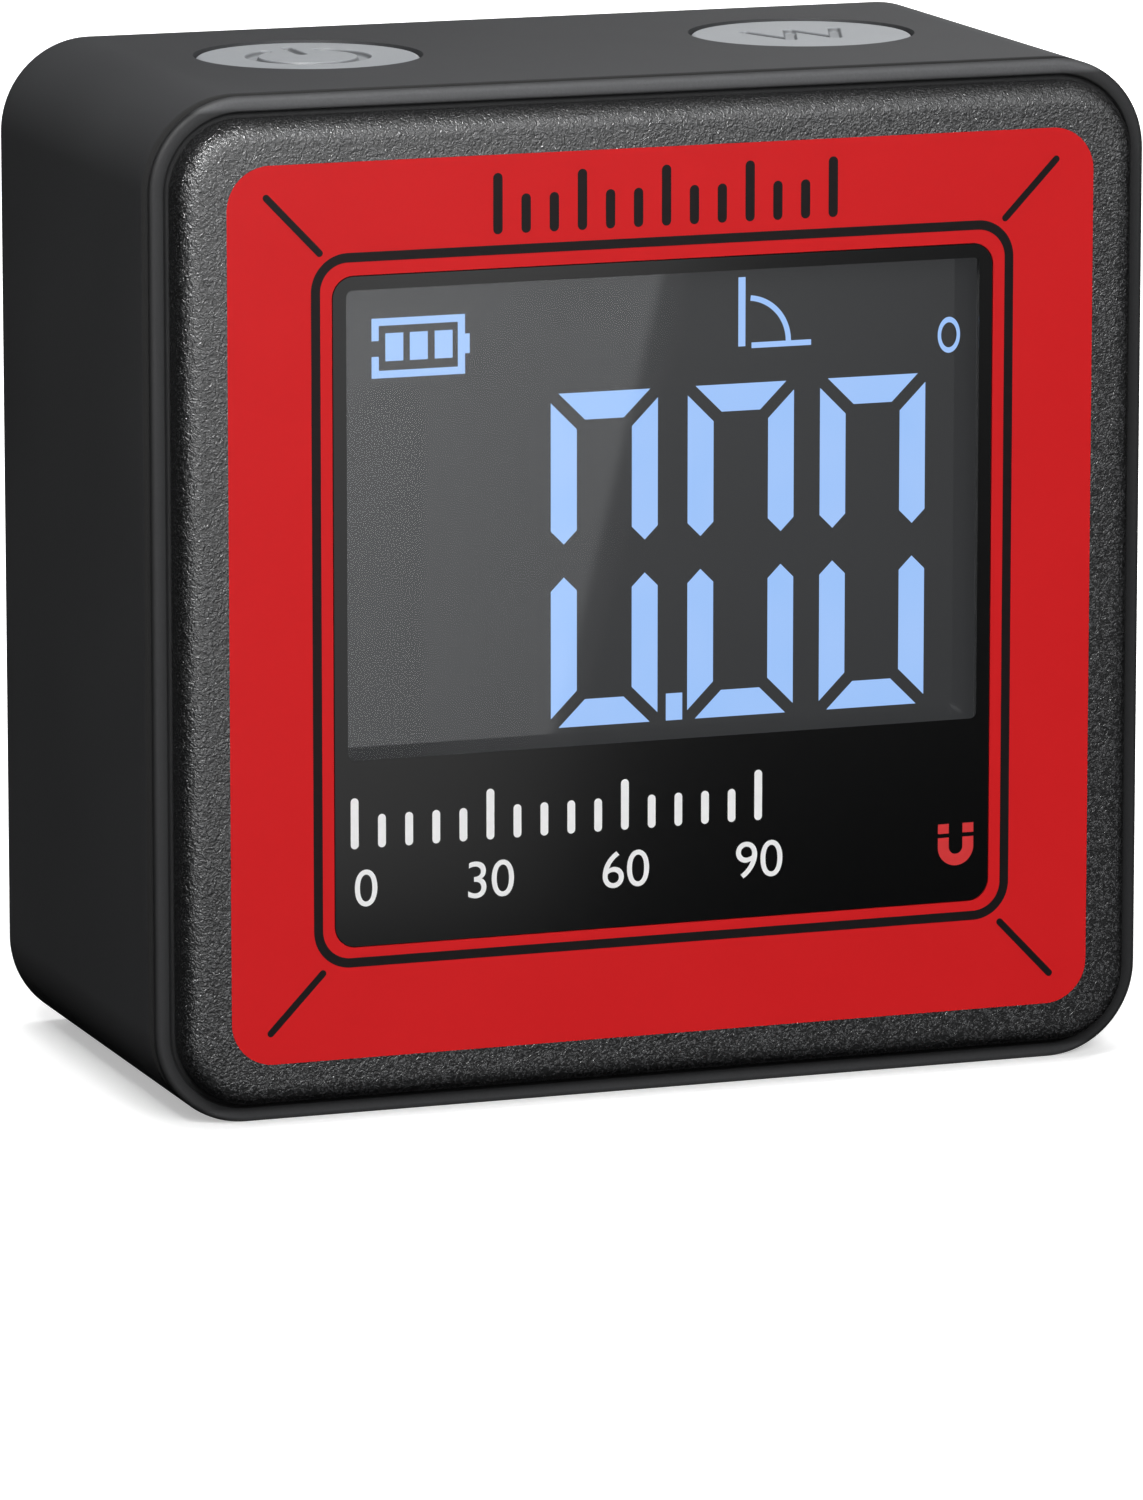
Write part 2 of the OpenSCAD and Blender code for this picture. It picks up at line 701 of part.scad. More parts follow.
module switch_stem(side) color("#d8b23a")
    at(side * key_x, key_depth, switch_top - stem_inside)
        cylinder(d = stem_d, h = stem_rise + stem_inside);

module power_switch_stem() switch_stem(-1);

module mode_switch_stem() switch_stem(1);

module switch_body(side) color("#2a2b2d") at(side * key_x, key_depth, switch_foot) difference() {
    translate([0, 0, switch_h / 2]) cube([switch_w, switch_w, switch_h], center = true);
    translate([0, 0, switch_h - well_depth])
        cylinder(d = stem_d + 2 * run_gap, h = well_depth + over);
}

module power_switch() switch_body(-1);

module mode_switch() switch_body(1);

module key_board() color("#1f5c3a") at(0, key_depth, board_foot) difference() {
    translate([0, 0, board_t / 2]) cube([board_w, board_l, board_t], center = true);
    for (side = [-1, 1]) translate([side * hanger_x, 0, -over])
        cylinder(d = small_screw_d + 2 * screw_gap, h = board_t + 2 * over);
}

module key_board_screws() color("#b9bcc0") for (side = [-1, 1])
    at(side * hanger_x, key_depth, board_foot)
        screw(small_screw_d, small_screw_l, small_head_d, small_head_h);

// The ribbon lies under the key board, bends down and lies on the main board.
module key_ribbon() color("#c9a23c") {
    bend_depth = pcb_back + ribbon_r;
    bend_z = board_foot - ribbon_r;
    translate([ribbon_x - ribbon_w / 2, -body_d / 2, 0]) rotate([90, 0, 90]) linear_extrude(ribbon_w) {
        translate([bend_depth, board_foot - ribbon_t])
            square([key_depth - board_l / 2 + ribbon_hold - bend_depth, ribbon_t]);
        translate([bend_depth, bend_z]) intersection() {
            difference() {
                circle(ribbon_r);
                circle(ribbon_r - ribbon_t);
            }
            translate([-ribbon_r, 0]) square(ribbon_r);
        }
        translate([pcb_back, bend_z - ribbon_hold]) square([ribbon_t, ribbon_hold]);
    }
}

module magnets() color("#c9ccd0") for (place = magnet_places)
    at(place[0], place[1], magnet_recess) rotate_extrude() {
        square([magnet_d / 2 - magnet_chamfer, magnet_t]);
        translate([0, magnet_chamfer]) square([magnet_d / 2, magnet_t - magnet_chamfer]);
        polygon([[magnet_d / 2 - magnet_chamfer, 0], [magnet_d / 2, magnet_chamfer],
            [magnet_d / 2 - magnet_chamfer, magnet_chamfer]]);
    }

module case_screws() color("#b9bcc0") for (place = post_places)
    face_on(head_seat) translate(place) screw(screw_d, screw_l, head_d, head_h);

rear_case();
front_bezel();
front_label();
display_window();
window_tape();
lcd_panel();
backlight();
contact_strip();
display_frame();
main_board();
processor();
tilt_sensor();
charging_chip();
board_screws();
charging_socket();
socket_tongue();
battery();
battery_pad();
battery_leads();
battery_connector();
power_key();
mode_key();
power_switch_stem();
mode_switch_stem();
power_switch();
mode_switch();
key_board();
key_board_screws();
key_ribbon();
magnets();
case_screws();
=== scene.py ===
"""A pocket digital angle gauge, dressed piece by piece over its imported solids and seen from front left."""

import math

import bpy
import numpy as np
from mathutils import Matrix, Vector


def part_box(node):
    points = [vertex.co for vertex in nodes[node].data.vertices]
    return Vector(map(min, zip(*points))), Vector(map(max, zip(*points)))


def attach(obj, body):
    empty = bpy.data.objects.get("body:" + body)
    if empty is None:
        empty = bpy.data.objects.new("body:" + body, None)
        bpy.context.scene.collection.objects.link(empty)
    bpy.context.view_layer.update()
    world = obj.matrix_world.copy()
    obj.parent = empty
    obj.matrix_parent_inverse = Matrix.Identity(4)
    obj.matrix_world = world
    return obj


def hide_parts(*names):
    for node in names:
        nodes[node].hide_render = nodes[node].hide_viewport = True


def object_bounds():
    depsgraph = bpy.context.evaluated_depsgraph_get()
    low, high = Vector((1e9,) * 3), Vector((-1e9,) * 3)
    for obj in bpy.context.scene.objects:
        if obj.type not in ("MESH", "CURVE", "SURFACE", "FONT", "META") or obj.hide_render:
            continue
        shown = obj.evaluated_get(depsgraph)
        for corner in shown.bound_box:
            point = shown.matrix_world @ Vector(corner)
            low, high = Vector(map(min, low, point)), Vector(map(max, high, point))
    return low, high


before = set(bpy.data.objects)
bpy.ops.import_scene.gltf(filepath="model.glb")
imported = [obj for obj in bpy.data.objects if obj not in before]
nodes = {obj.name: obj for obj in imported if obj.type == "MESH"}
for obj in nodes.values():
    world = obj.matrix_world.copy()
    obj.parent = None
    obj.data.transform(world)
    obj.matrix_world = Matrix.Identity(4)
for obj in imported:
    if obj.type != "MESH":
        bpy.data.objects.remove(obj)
cad_low, cad_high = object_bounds()


# Rear case. One deep tub of black ABS with a fine matte moulding finish: it carries the keys, the base
# magnets and the socket, and four screws from behind pull it against the bezel.
MM = 0.001
body = cad_high - cad_low
front_y = cad_low.y
mid_z = (cad_low.z + cad_high.z) / 2
corner_r = 4.8 * MM
least_r = 0.2 * MM
wall = 2.0 * MM
back_edge_r = 0.5 * MM
case_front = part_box("rear_case")[0].y - front_y
case_edge_r = 0.25 * MM
CORNER_STEPS = 28
RING_POINTS = 4 * CORNER_STEPS
ARC_STEPS = 9
SHARP_ANGLE = 35


class Wire:
    """A shader socket. Sums on it add Math nodes to its material, and node() adds any other node."""

    def __init__(self, socket):
        self.socket = socket

    def node(self, kind, settings=None, sockets=None, output=0):
        """Adds one node: first its settings, such as a ramp's stops, then its sockets' values or links."""
        tree = self.socket.id_data
        made = tree.nodes.new("ShaderNode" + kind)
        for name, value in (settings or {}).items():
            if name == "stops":
                ramp = made.color_ramp.elements
                while len(ramp) < len(value):
                    ramp.new(1.0)
                for stop, (position, colour) in zip(ramp, value):
                    stop.position = position
                    stop.color = (*colour, 1.0)
            else:
                setattr(made, name, value)
        for name, value in (sockets or {}).items():
            if isinstance(value, Wire):
                tree.links.new(value.socket, made.inputs[name])
            else:
                made.inputs[name].default_value = value
        return Wire(made.outputs[output])

    def maths(self, operation, first, second):
        """One Math node on two values or wires."""
        return self.node("Math", {"operation": operation}, {0: first, 1: second})

    def __add__(self, other):
        return self.maths("ADD", self, other)

    def __sub__(self, other):
        return self.maths("SUBTRACT", self, other)

    def __rsub__(self, other):
        return self.maths("SUBTRACT", other, self)

    def __mul__(self, other):
        return self.maths("MULTIPLY", self, other)

    __radd__ = __add__
    __rmul__ = __mul__

    def axis(self, index):
        """One coordinate of this place: 0 for X, 1 for Y and 2 for Z."""
        return self.node("SeparateXYZ", {}, {0: self}, output=index)

    def noise(self, scale, detail=2.0, roughness=0.5):
        """Soft noise between 0 and 1, with scale in waves per millimetre of this place."""
        sockets = {"Vector": self, "Scale": scale, "Detail": detail, "Roughness": roughness}
        return self.node("TexNoise", {}, sockets)

    def stored(self, name):
        """A number that the mesh keeps at each of its points."""
        return self.node("Attribute", {"attribute_name": name}, output=2)

    def between(self, low, high):
        """A value that runs from low to high as this one runs from 0 to 1."""
        return self * (high - low) + low

    def rise(self, start, end):
        """0 up to start and 1 from end on, with a straight run between. The end may lie below the start."""
        return self.node("MapRange", {}, {0: self, 1: start, 2: end, 3: 0.0, 4: 1.0})

    def graded(self, stops, span=1.0):
        """A shade by this value: straight runs between stops of value and shade, over a span from 0."""
        greys = [(at / span, (shade, shade, shade)) for at, shade in stops]
        return self.node("ValToRGB", {"stops": greys}, {0: self * (1 / span)})

    def grey(self):
        """A colour with this value in all three channels."""
        return self.node("CombineXYZ", {}, {0: self, 1: self, 2: self})

    def mixed(self, way, factor, first, second):
        """Two colours mixed in a way such as MIX. A Mix node takes colours at 6 and 7 and gives one at 2."""
        settings = {"data_type": "RGBA", "blend_type": way}
        return self.node("Mix", settings, {0: factor, 6: first, 7: second}, output=2)

    def blend(self, first, second):
        """A colour that runs from first to second, colours or wires, as this value runs from 0 to 1."""
        ends = [end if isinstance(end, Wire) else (*end, 1.0) for end in (first, second)]
        return self.mixed("MIX", self, *ends)

    def times(self, shade):
        """This colour multiplied by a shade."""
        return self.mixed("MULTIPLY", 1.0, self, shade)

    def bump(self, height):
        """The normal of a surface raised by this value times height, in metres."""
        return self.node("Bump", {}, {"Height": self, "Strength": 1.0, "Distance": height})


def finish(name, vary, **constants):
    """A material. The constants are set on its shader, and vary links what changes with the place in mm."""
    material = bpy.data.materials.new(name)
    material.use_nodes = True
    shader = material.node_tree.nodes["Principled BSDF"]
    for socket, value in constants.items():
        shader.inputs[socket.replace("_", " ")].default_value = value
    coordinates = material.node_tree.nodes.new("ShaderNodeTexCoord")
    place = Wire(coordinates.outputs["Object"])
    place = place.node("VectorMath", {"operation": "SCALE"}, {0: place, "Scale": 1 / MM})
    for socket, wire in vary(place).items():
        material.node_tree.links.new(wire.socket, shader.inputs[socket])
    return material


def ring(half_w, half_h, radius, depth, middle=(0.0, mid_z)):
    """A rounded rectangle in X and Z at a depth behind the front plane: four quarter circles of one radius
    about the corners' own centres, anticlockwise from the front, joined by straight sides."""
    quarter = np.linspace(0, math.pi / 2, CORNER_STEPS)
    angle = (quarter + math.pi / 2 * np.arange(4)[:, None]).ravel()
    side = np.repeat(np.array([[1, 1], [-1, 1], [-1, -1], [1, -1]]), CORNER_STEPS, axis=0)
    x = middle[0] + side[:, 0] * (half_w - radius) + radius * np.cos(angle)
    z = middle[1] + side[:, 1] * (half_h - radius) + radius * np.sin(angle)
    return np.stack([x, np.full_like(x, front_y + depth), z], axis=1)


def body_ring(inset, depth):
    """The body's own outline, moved inwards by inset, at a depth behind the front plane."""
    return ring(body.x / 2 - inset, body.z / 2 - inset, max(corner_r - inset, least_r), depth)


def arc(centre, radius, first, last, steps=ARC_STEPS):
    """Points of an arc in a profile's two coordinates: 0 degrees is along the first, 90 along the second."""
    angle = np.radians(np.linspace(first, last, steps))
    return np.stack([centre[0] + radius * np.cos(angle), centre[1] + radius * np.sin(angle)], axis=1)


def loft(rings, closed=False):
    """Vertices and faces of the surface that runs over rings of equal point count, from each to the next. It
    closes on its first ring, or ends in two flat caps."""
    grid = np.array(rings)
    count, points = grid.shape[:2]
    row = np.arange(count if closed else count - 1)[:, None]
    column = np.arange(points)[None, :]
    below, beside = (row + 1) % count, (column + 1) % points
    corners = [row * points + column, below * points + column, below * points + beside, row * points + beside]
    faces = np.stack(np.broadcast_arrays(*corners), axis=-1).reshape(-1, 4).tolist()
    if not closed:
        faces.append(list(range(points)))
        faces.append(list(range(count * points - 1, (count - 1) * points - 1, -1)))
    return grid.reshape(-1, 3), faces


def turned(profile, centre, axis, steps, closed=False):
    """A shell of revolution: a profile of radius and height carried round an axis (X, Y or Z) through centre.
    The profile closes on itself, or its ends get flat caps."""
    radius, height = np.array(profile).T
    angle = np.linspace(0, 2 * math.pi, steps, endpoint=False)
    across = np.stack([np.outer(radius, np.cos(angle)), np.outer(radius, np.sin(angle))], axis=-1)
    along = np.broadcast_to(height[:, None, None], across.shape[:2] + (1,))
    local = np.concatenate([across, along], axis=-1)
    local = np.roll(local, "ZXY".index(axis), axis=-1)
    return loft(local[::-1] + np.array(centre), closed)


def drill(radius, start, end, centre, axis, steps):
    """A round cutter between two heights on an axis through centre."""
    return turned([(radius, start), (radius, end)], centre, axis, steps)


def added(name, data):
    """A new object of the scene, at the origin, for a mesh, a font curve, a lamp or a camera."""
    made = bpy.data.objects.new(name, data)
    bpy.context.scene.collection.objects.link(made)
    return made


def shape(name, shells):
    """One object from closed shells of vertices and faces."""
    starts = np.cumsum([0] + [len(vertices) for vertices, _ in shells])
    faces = [[index + start for index in face] for start, (_, part) in zip(starts, shells) for face in part]
    mesh = bpy.data.meshes.new(name)
    mesh.from_pydata(np.concatenate([vertices for vertices, _ in shells]).tolist(), [], faces)
    return added(name, mesh)


def worked_out(made):
    """A new mesh of what an object shows with its modifiers or its font applied."""
    bpy.context.view_layer.update()
    return bpy.data.meshes.new_from_object(made.evaluated_get(bpy.context.evaluated_depsgraph_get()))


def cut(target, cutters):
    """Takes closed shells out of an object's mesh."""
    for shell in cutters:
        tool = shape("cutter", [shell])
        taking = target.modifiers.new("cut", "BOOLEAN")
        taking.operation = "DIFFERENCE"
        taking.solver = "EXACT"
        taking.object = tool
        done = worked_out(target)
        target.modifiers.remove(taking)
        target.data = done
        bpy.data.objects.remove(tool)
    return target


def coat(made, material):
    """Gives an object one material."""
    made.data.materials.clear()
    made.data.materials.append(material)


def settle(made, material, rides, replaces=(), sharp=SHARP_ANGLE):
    """Smooths an object but for edges over sharp degrees, evens its normals over flat faces, gives it its
    material and puts it on its body."""
    made.data.polygons.foreach_set("use_smooth", np.ones(len(made.data.polygons), bool))
    made.data.set_sharp_from_angle(angle=math.radians(sharp))
    even = made.modifiers.new("even", "WEIGHTED_NORMAL")
    even.keep_sharp = True
    even.weight = 100
    coat(made, material)
    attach(made, rides)
    if replaces:
        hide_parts(*replaces)
    return made


def piece(name, shells, material, rides, replaces=(), sharp=SHARP_ANGLE):
    """One settled object from closed shells."""
    return settle(shape(name, shells), material, rides, replaces, sharp)


key_box = {side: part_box(name) for side, name in ((-1, "power_key"), (1, "mode_key"))}
key_r = 5.8 * MM
flange_r = 6.6 * MM
key_centre = {
    side: Vector(((low.x + high.x) / 2, low.y + flange_r, 0)) for side, (low, high) in key_box.items()}
key_gap = 0.12 * MM
screw_low, screw_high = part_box("case_screws")
head_r = 1.9 * MM
head_h = 1.4 * MM
pocket_r = head_r + 0.3 * MM
post_x = screw_high.x - head_r
post_z = [screw_low.z + head_r, screw_high.z - head_r]
post_places = [(side * post_x, 0, z) for side in (-1, 1) for z in post_z]
head_seat = screw_high.y - head_h
magnet_low, magnet_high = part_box("magnets")
magnet_r = 4.0 * MM
magnet_gap = 0.05 * MM
magnet_cup = 0.7 * MM
magnet_x = magnet_high.x - magnet_r
magnet_y = [magnet_low.y + magnet_r, magnet_high.y - magnet_r]
magnet_places = [(side * magnet_x, y, 0) for side in (-1, 1) for y in magnet_y]
socket_low, socket_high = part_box("charging_socket")
socket_middle = (socket_low + socket_high) / 2
port_gap = 0.2 * MM
port_margin, port_recess = 1.5 * MM, 1.0 * MM
PORT_STEPS, KEY_HOLE_STEPS, POST_STEPS, MAGNET_STEPS = 64, 96, 48, 72


def slot_shell(margin, inner_x, outer_x):
    """A slot with round ends, as long as the socket's mouth plus a margin, between two planes across X."""
    half_l = (socket_high.z - socket_low.z) / 2 + margin
    half_w = (socket_high.y - socket_low.y) / 2 + margin
    angle = np.linspace(0, 2 * math.pi, PORT_STEPS, endpoint=False)
    y = socket_middle.y + half_w * np.cos(angle)
    z = socket_middle.z + half_w * np.sin(angle) + np.where(np.sin(angle) >= 0, 1, -1) * (half_l - half_w)
    return loft([np.stack([np.full_like(y, x), y, z], axis=1) for x in (outer_x, inner_x)])


def case_plastic(place):
    """Matte black: a very fine moulded tooth, faint cloudy change of shade and gloss, and a dull front edge
    in the seam to the bezel, darkened there with painted shade."""
    tooth = place.noise(9.0, detail=3.0)
    cloud = place.noise(0.12)
    behind = place.axis(1) - (front_y + case_front) / MM
    # Painted shade: nearly black up to 0.36 mm behind the case's front, fading out by 0.76 mm.
    clear = behind.rise(0.36, 0.76)
    black = (tooth * 0.4 + cloud * 0.6).blend((0.036, 0.0368, 0.0388), (0.046, 0.0469, 0.0493))
    return {
        "Base Color": clear.blend((0.004, 0.004, 0.004), black),
        "Roughness": (cloud * 0.5 + tooth * 0.5).between(0.48, 0.62) + (1 - clear) * 0.4,
        "Normal": tooth.bump(0.006 * MM),
    }


case_finish = finish("case_plastic", case_plastic, Specular_IOR_Level=0.25)
inner_back = body.y - wall
case_edge = np.concatenate([
    arc((case_edge_r, case_front + case_edge_r), case_edge_r, 270, 180, 4),
    arc((back_edge_r, body.y - back_edge_r), back_edge_r, 180, 90),
])
case_rings = [body_ring(wall, inner_back), body_ring(wall, case_front)]
case_rings += [body_ring(*point) for point in case_edge]
overcut = 1.0 * MM
side_x = body.x / 2
hole_foot, hole_head = cad_high.z - wall - overcut, cad_high.z + overcut
cutters = [drill(key_r + key_gap, hole_foot, hole_head, key_centre[side], "Z", KEY_HOLE_STEPS)
           for side in (-1, 1)]
cutters += [drill(pocket_r, head_seat, cad_high.y + overcut, place, "Y", POST_STEPS) for place in post_places]
cutters += [drill(magnet_r + magnet_gap, -overcut, magnet_high.z - magnet_cup, place, "Z", MAGNET_STEPS)
            for place in magnet_places]
cutters.append(slot_shell(port_gap, side_x - wall - overcut, side_x + overcut))
cutters.append(slot_shell(port_margin, side_x - port_recess, side_x + overcut))
case = cut(shape("rear_case_shell", [loft(case_rings)]), cutters)
settle(case, case_finish, "case", ["rear_case"])

# Thin floors under the screw heads close the posts from inside.
shaft_r, post_r, seat_t, seat_lap = 1.15 * MM, 2.9 * MM, 2.0 * MM, 0.05 * MM
seat_back = front_y + inner_back + seat_lap
seat = [(shaft_r, head_seat - seat_t), (post_r, head_seat - seat_t), (post_r, seat_back),
        (pocket_r, seat_back), (pocket_r, head_seat), (shaft_r, head_seat)]
seats = [turned(seat, place, "Y", POST_STEPS, closed=True) for place in post_places]
piece("screw_seats", seats, case_finish, "case")


# Bezel. A separate moulding in the same black: a rolled front with a leather-like grain, a groove round its
# foot and a smooth bead outside it. A lip behind it locates it inside the case, and a shallow recess takes
# the label.
label_low, label_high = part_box("front_label")
window_low, window_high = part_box("display_window")
glass_low, glass_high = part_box("lcd_panel")
fit = 0.05 * MM
shoulder_w, shoulder_depth = 1.1 * MM, 1.65 * MM
roll_r, bead_r = 1.1 * MM, 0.3 * MM
groove_w, groove_d, groove_lip_r = 0.32 * MM, 0.35 * MM, 0.1 * MM
seam_d = 0.4 * MM
lip_in, lip_t, lip_l = wall + 0.1 * MM, 1.0 * MM, 2.0 * MM
label_r, window_r = 2.2 * MM, 1.1 * MM
label_t = label_high.y - label_low.y
window_t = window_high.y - window_low.y
tape_t = 0.1 * MM
label_half = (label_high - label_low) / 2
window_half = (window_high - window_low) / 2
window_z = (window_low.z + window_high.z) / 2
view_margin = 0.7 * MM
view_strip = 9.55 * MM
view_half = Vector((window_half.x - view_margin, 0, window_half.z - (view_margin + view_strip) / 2))
view_z = window_high.z - view_margin - view_half.z
opening_margin, opening_r = 0.62 * MM, 0.3 * MM
opening_x, opening_z = view_half.x + opening_margin, view_half.z + opening_margin
glass_half = (glass_high - glass_low) / 2
glass_z = (glass_low.z + glass_high.z) / 2
glass_front = glass_low.y - front_y
glass_gap = 0.15 * MM


def sized_ring(half, extra, radius, depth, z=mid_z):
    """A rounded rectangle of the given half sizes, grown by extra, at a depth and height."""
    return ring(half.x + extra, half.z + extra, radius + extra, depth, (0.0, z))


def mark(made, name, values):
    """Stores a number at each point of an object's mesh, for its material."""
    made.data.attributes.new(name, "FLOAT", "POINT").data.foreach_set("value", values.astype(np.float32))


def bezel_grain(place):
    """Leather grain: short wrinkles about a fifth of a millimetre apart, from cells stretched by soft noise,
    with painted shade in their creases. Painted shade leaves the black palest on the front and darker down
    the roll."""
    sway = place.node("TexNoise", {}, {"Vector": place, "Scale": 3.2, "Detail": 2.0}, output=1)
    moved = place.node("VectorMath", {"operation": "MULTIPLY_ADD"}, {0: sway, 1: (0.7, 0.7, 0.7), 2: place})
    cell_sockets = {"Vector": moved, "Scale": 5.6, "Smoothness": 0.22}
    cells = place.node("TexVoronoi", {"feature": "SMOOTH_F1"}, cell_sockets)
    fine = place.noise(12.0, roughness=0.6)
    crease = (cells + fine * 0.12).rise(0.22, 0.6)
    depth = place.axis(1) - front_y / MM
    # Painted shade by depth: darkest 0.6 mm back on the roll, a little paler further down.
    shade = depth.graded(
        [(0.0, 1.0), (0.12, 1.0), (0.3, 0.55), (0.6, 0.38), (1.0, 0.55), (1.6, 0.6)], span=2.0)
    # Painted shade: the creases of the grain are darker.
    black = crease.blend((0.083, 0.0843, 0.0874), (0.0157, 0.016, 0.0166))
    return {
        "Base Color": black.times(shade),
        "Roughness": crease * 0.15 + 0.17,
        "Normal": (cells + fine * 0.25).bump(-0.053 * MM),
    }


def bead_satin(place):
    """The same black left smooth, with a painted highlight along the bead's crest, painted shade at the seam
    and in the groove beside it, and painted light along the top and, less, along the foot."""
    inset = place.stored("inset")
    # Painted highlight on the crest and painted shade at the seam and towards the groove, by distance from
    # the outside.
    shade = inset.graded([
        (0.0, 0.4), (0.1, 0.75), (0.26, 1.15), (0.42, 1.0), (0.6, 0.7), (0.7, 0.55), (0.85, 0.6), (1.0, 0.7)])
    # Painted light: the bead is paler along the top of the body and, less, along its foot.
    painted_light_in, painted_light_out = 0.8, 0.55
    height = place.axis(2)
    top = height.rise(cad_high.z / MM - painted_light_in, cad_high.z / MM - painted_light_out)
    foot = height.rise(cad_low.z / MM + painted_light_in, cad_low.z / MM + painted_light_out)
    fine = place.noise(7.0, detail=3.0, roughness=0.6)
    black = fine.blend((0.023, 0.0233, 0.0242), (0.031, 0.0314, 0.0326))
    return {
        "Base Color": black.times(shade * (top * 2.4 + foot * 1.0 + 1.0)),
        "Roughness": fine * 0.2 + 0.5,
        "Normal": fine.bump(-0.012 * MM),
    }


bezel_finish = finish("bezel_grain", bezel_grain, Specular_IOR_Level=0.5)
bead_finish = finish("bead_satin", bead_satin, Specular_IOR_Level=0.12)
groove_r = groove_w / 2
bead_end = shoulder_depth + bead_r
bezel_edge = np.concatenate([
    arc((shoulder_w + roll_r, roll_r), roll_r, 270, 180, 16),
    arc((shoulder_w - groove_r, shoulder_depth + groove_d - groove_r), groove_r, 0, 180),
    arc((shoulder_w - groove_w - groove_lip_r, shoulder_depth + groove_lip_r), groove_lip_r, 0, -90, 5),
    arc((bead_r, bead_end), bead_r, 270, 180, 12),
])
bezel_rings = [
    sized_ring(window_half, fit, window_r, label_t, window_z),
    sized_ring(label_half, fit, label_r, label_t),
    sized_ring(label_half, fit, label_r, 0.0),
    *[body_ring(*point) for point in bezel_edge],
    body_ring(seam_d, bead_end),
    body_ring(seam_d, case_front),
    body_ring(lip_in, case_front),
    body_ring(lip_in, case_front + lip_l),
    body_ring(lip_in + lip_t, case_front + lip_l),
    body_ring(lip_in + lip_t, case_front),
    sized_ring(glass_half, glass_gap, opening_r, case_front, glass_z),
    sized_ring(glass_half, glass_gap, opening_r, glass_front, glass_z),
    ring(opening_x, opening_z, opening_r, glass_front, (0.0, view_z)),
    ring(opening_x, opening_z, opening_r, window_t + tape_t, (0.0, view_z)),
    sized_ring(window_half, fit, window_r, window_t + tape_t, window_z),
]
bezel_shell = loft(bezel_rings, closed=True)
bezel = piece("bezel", [bezel_shell], bezel_finish, "case", ["front_bezel"])
bezel.data.materials.append(bead_finish)
ring_depth = np.array([row[0, 1] for row in bezel_rings]) - front_y
ring_inset = body.x / 2 - np.array([row[:, 0].max() for row in bezel_rings])
on_bead = (ring_depth > roll_r) & (ring_inset < shoulder_w)
bezel.data.polygons.foreach_set("material_index", np.repeat(on_bead, RING_POINTS).astype(np.int32))
mark(bezel, "inset", np.repeat(ring_inset / shoulder_w, RING_POINTS))


# Front label. A satin printed film, red, stuck in the bezel's recess and cut out for the window. A black
# line, four corner strokes and a plain scale are printed on it.
print_t = 0.012 * MM
film_edge = 0.9 * fit


def label_film(place):
    """Red ink under a satin skin, with the faintest mottle."""
    mottle = place.noise(0.25)
    skin = place.noise(14.0)
    return {
        "Base Color": mottle.blend((0.575, 0.0115, 0.0138), (0.605, 0.0135, 0.0158)),
        "Roughness": skin.between(0.42, 0.56),
        "Normal": skin.bump(0.0015 * MM),
    }


def mottled(scale, first, second, smooth, rough, detail=2.0):
    """A recipe for a surface that mottles between two colours, rougher towards the second."""
    def vary(place):
        mottle = place.noise(scale, detail)
        return {"Base Color": mottle.blend(first, second), "Roughness": mottle.between(smooth, rough)}
    return vary


label_finish = finish("label_red", label_film, Specular_IOR_Level=0.07)
black_ink = mottled(2.0, (0.0085, 0.0068, 0.0072), (0.0115, 0.0095, 0.01), 0.42, 0.55)
ink_finish = finish("print_black", black_ink, Specular_IOR_Level=0.06)
label_rings = [
    sized_ring(window_half, fit, window_r, label_t, window_z),
    sized_ring(window_half, fit, window_r, 0.0, window_z),
    sized_ring(label_half, film_edge, label_r, 0.0),
    sized_ring(label_half, film_edge, label_r, label_t),
]
piece("label_film", [loft(label_rings, closed=True)], label_finish, "case", ["front_label"])


def inlay(outline, front, back):
    """A flat closed shell: an outline of X and Z, anticlockwise from the front, between two depths."""
    flat = np.array(outline)
    return loft([np.insert(flat, 1, front_y + depth, axis=1) for depth in (front, back)])


def printed(outlines):
    """Thin shells of ink that stand on the front plane."""
    return [inlay(outline, -print_t, 0.0) for outline in outlines]


def stroke(start, end, width, steps=10):
    """The outline of a straight stroke with round ends."""
    start, end = np.array(start), np.array(end)
    heading = math.atan2(*(end - start)[::-1])
    swing = heading + np.linspace(-math.pi / 2, math.pi / 2, steps)
    tip = width / 2 * np.stack([np.cos(swing), np.sin(swing)], axis=1)
    return np.concatenate([end + tip, start - tip])


def stroke_row(left, foot, pitch, count, every, long, short, width):
    """Outlines of upright strokes side by side from the left: each one whose number every divides is long."""
    places = [(left + number * pitch, short if number % every else long) for number in range(count)]
    return [stroke((x, foot), (x, foot + height), width) for x, height in places]


def bar(low_x, high_x, low_z, high_z):
    """The outline of an upright rectangle."""
    return np.array([(low_x, low_z), (high_x, low_z), (high_x, high_z), (low_x, high_z)])


line_w = 0.48 * MM
line_half = Vector((18.88 * MM, 0, 18.22 * MM))
line_r = 1.95 * MM
line_z = mid_z + 0.08 * MM
line_rings = [sized_ring(line_half, -inset, line_r, depth, line_z) for inset, depth in (
    (line_w, 0.0), (line_w, -print_t), (0.0, -print_t), (0.0, 0.0))]
corner_w = 0.36 * MM
corner_out = (21.2 * MM, 21.25 * MM)
corner_in = (18.42 * MM, 18.35 * MM)
corner_strokes = [
    stroke(*[(side * x, mid_z + end * z) for x, z in (corner_out, corner_in)], corner_w)
    for side in (-1, 1) for end in (-1, 1)]
label_scale = stroke_row(left=-9.0 * MM, foot=45.25 * MM, pitch=1.5 * MM, count=13, every=3, long=2.6 * MM,
                         short=1.5 * MM, width=0.5 * MM)
label_shells = [loft(line_rings, closed=True), *printed(corner_strokes + label_scale)]
piece("label_print", label_shells, ink_finish, "case")


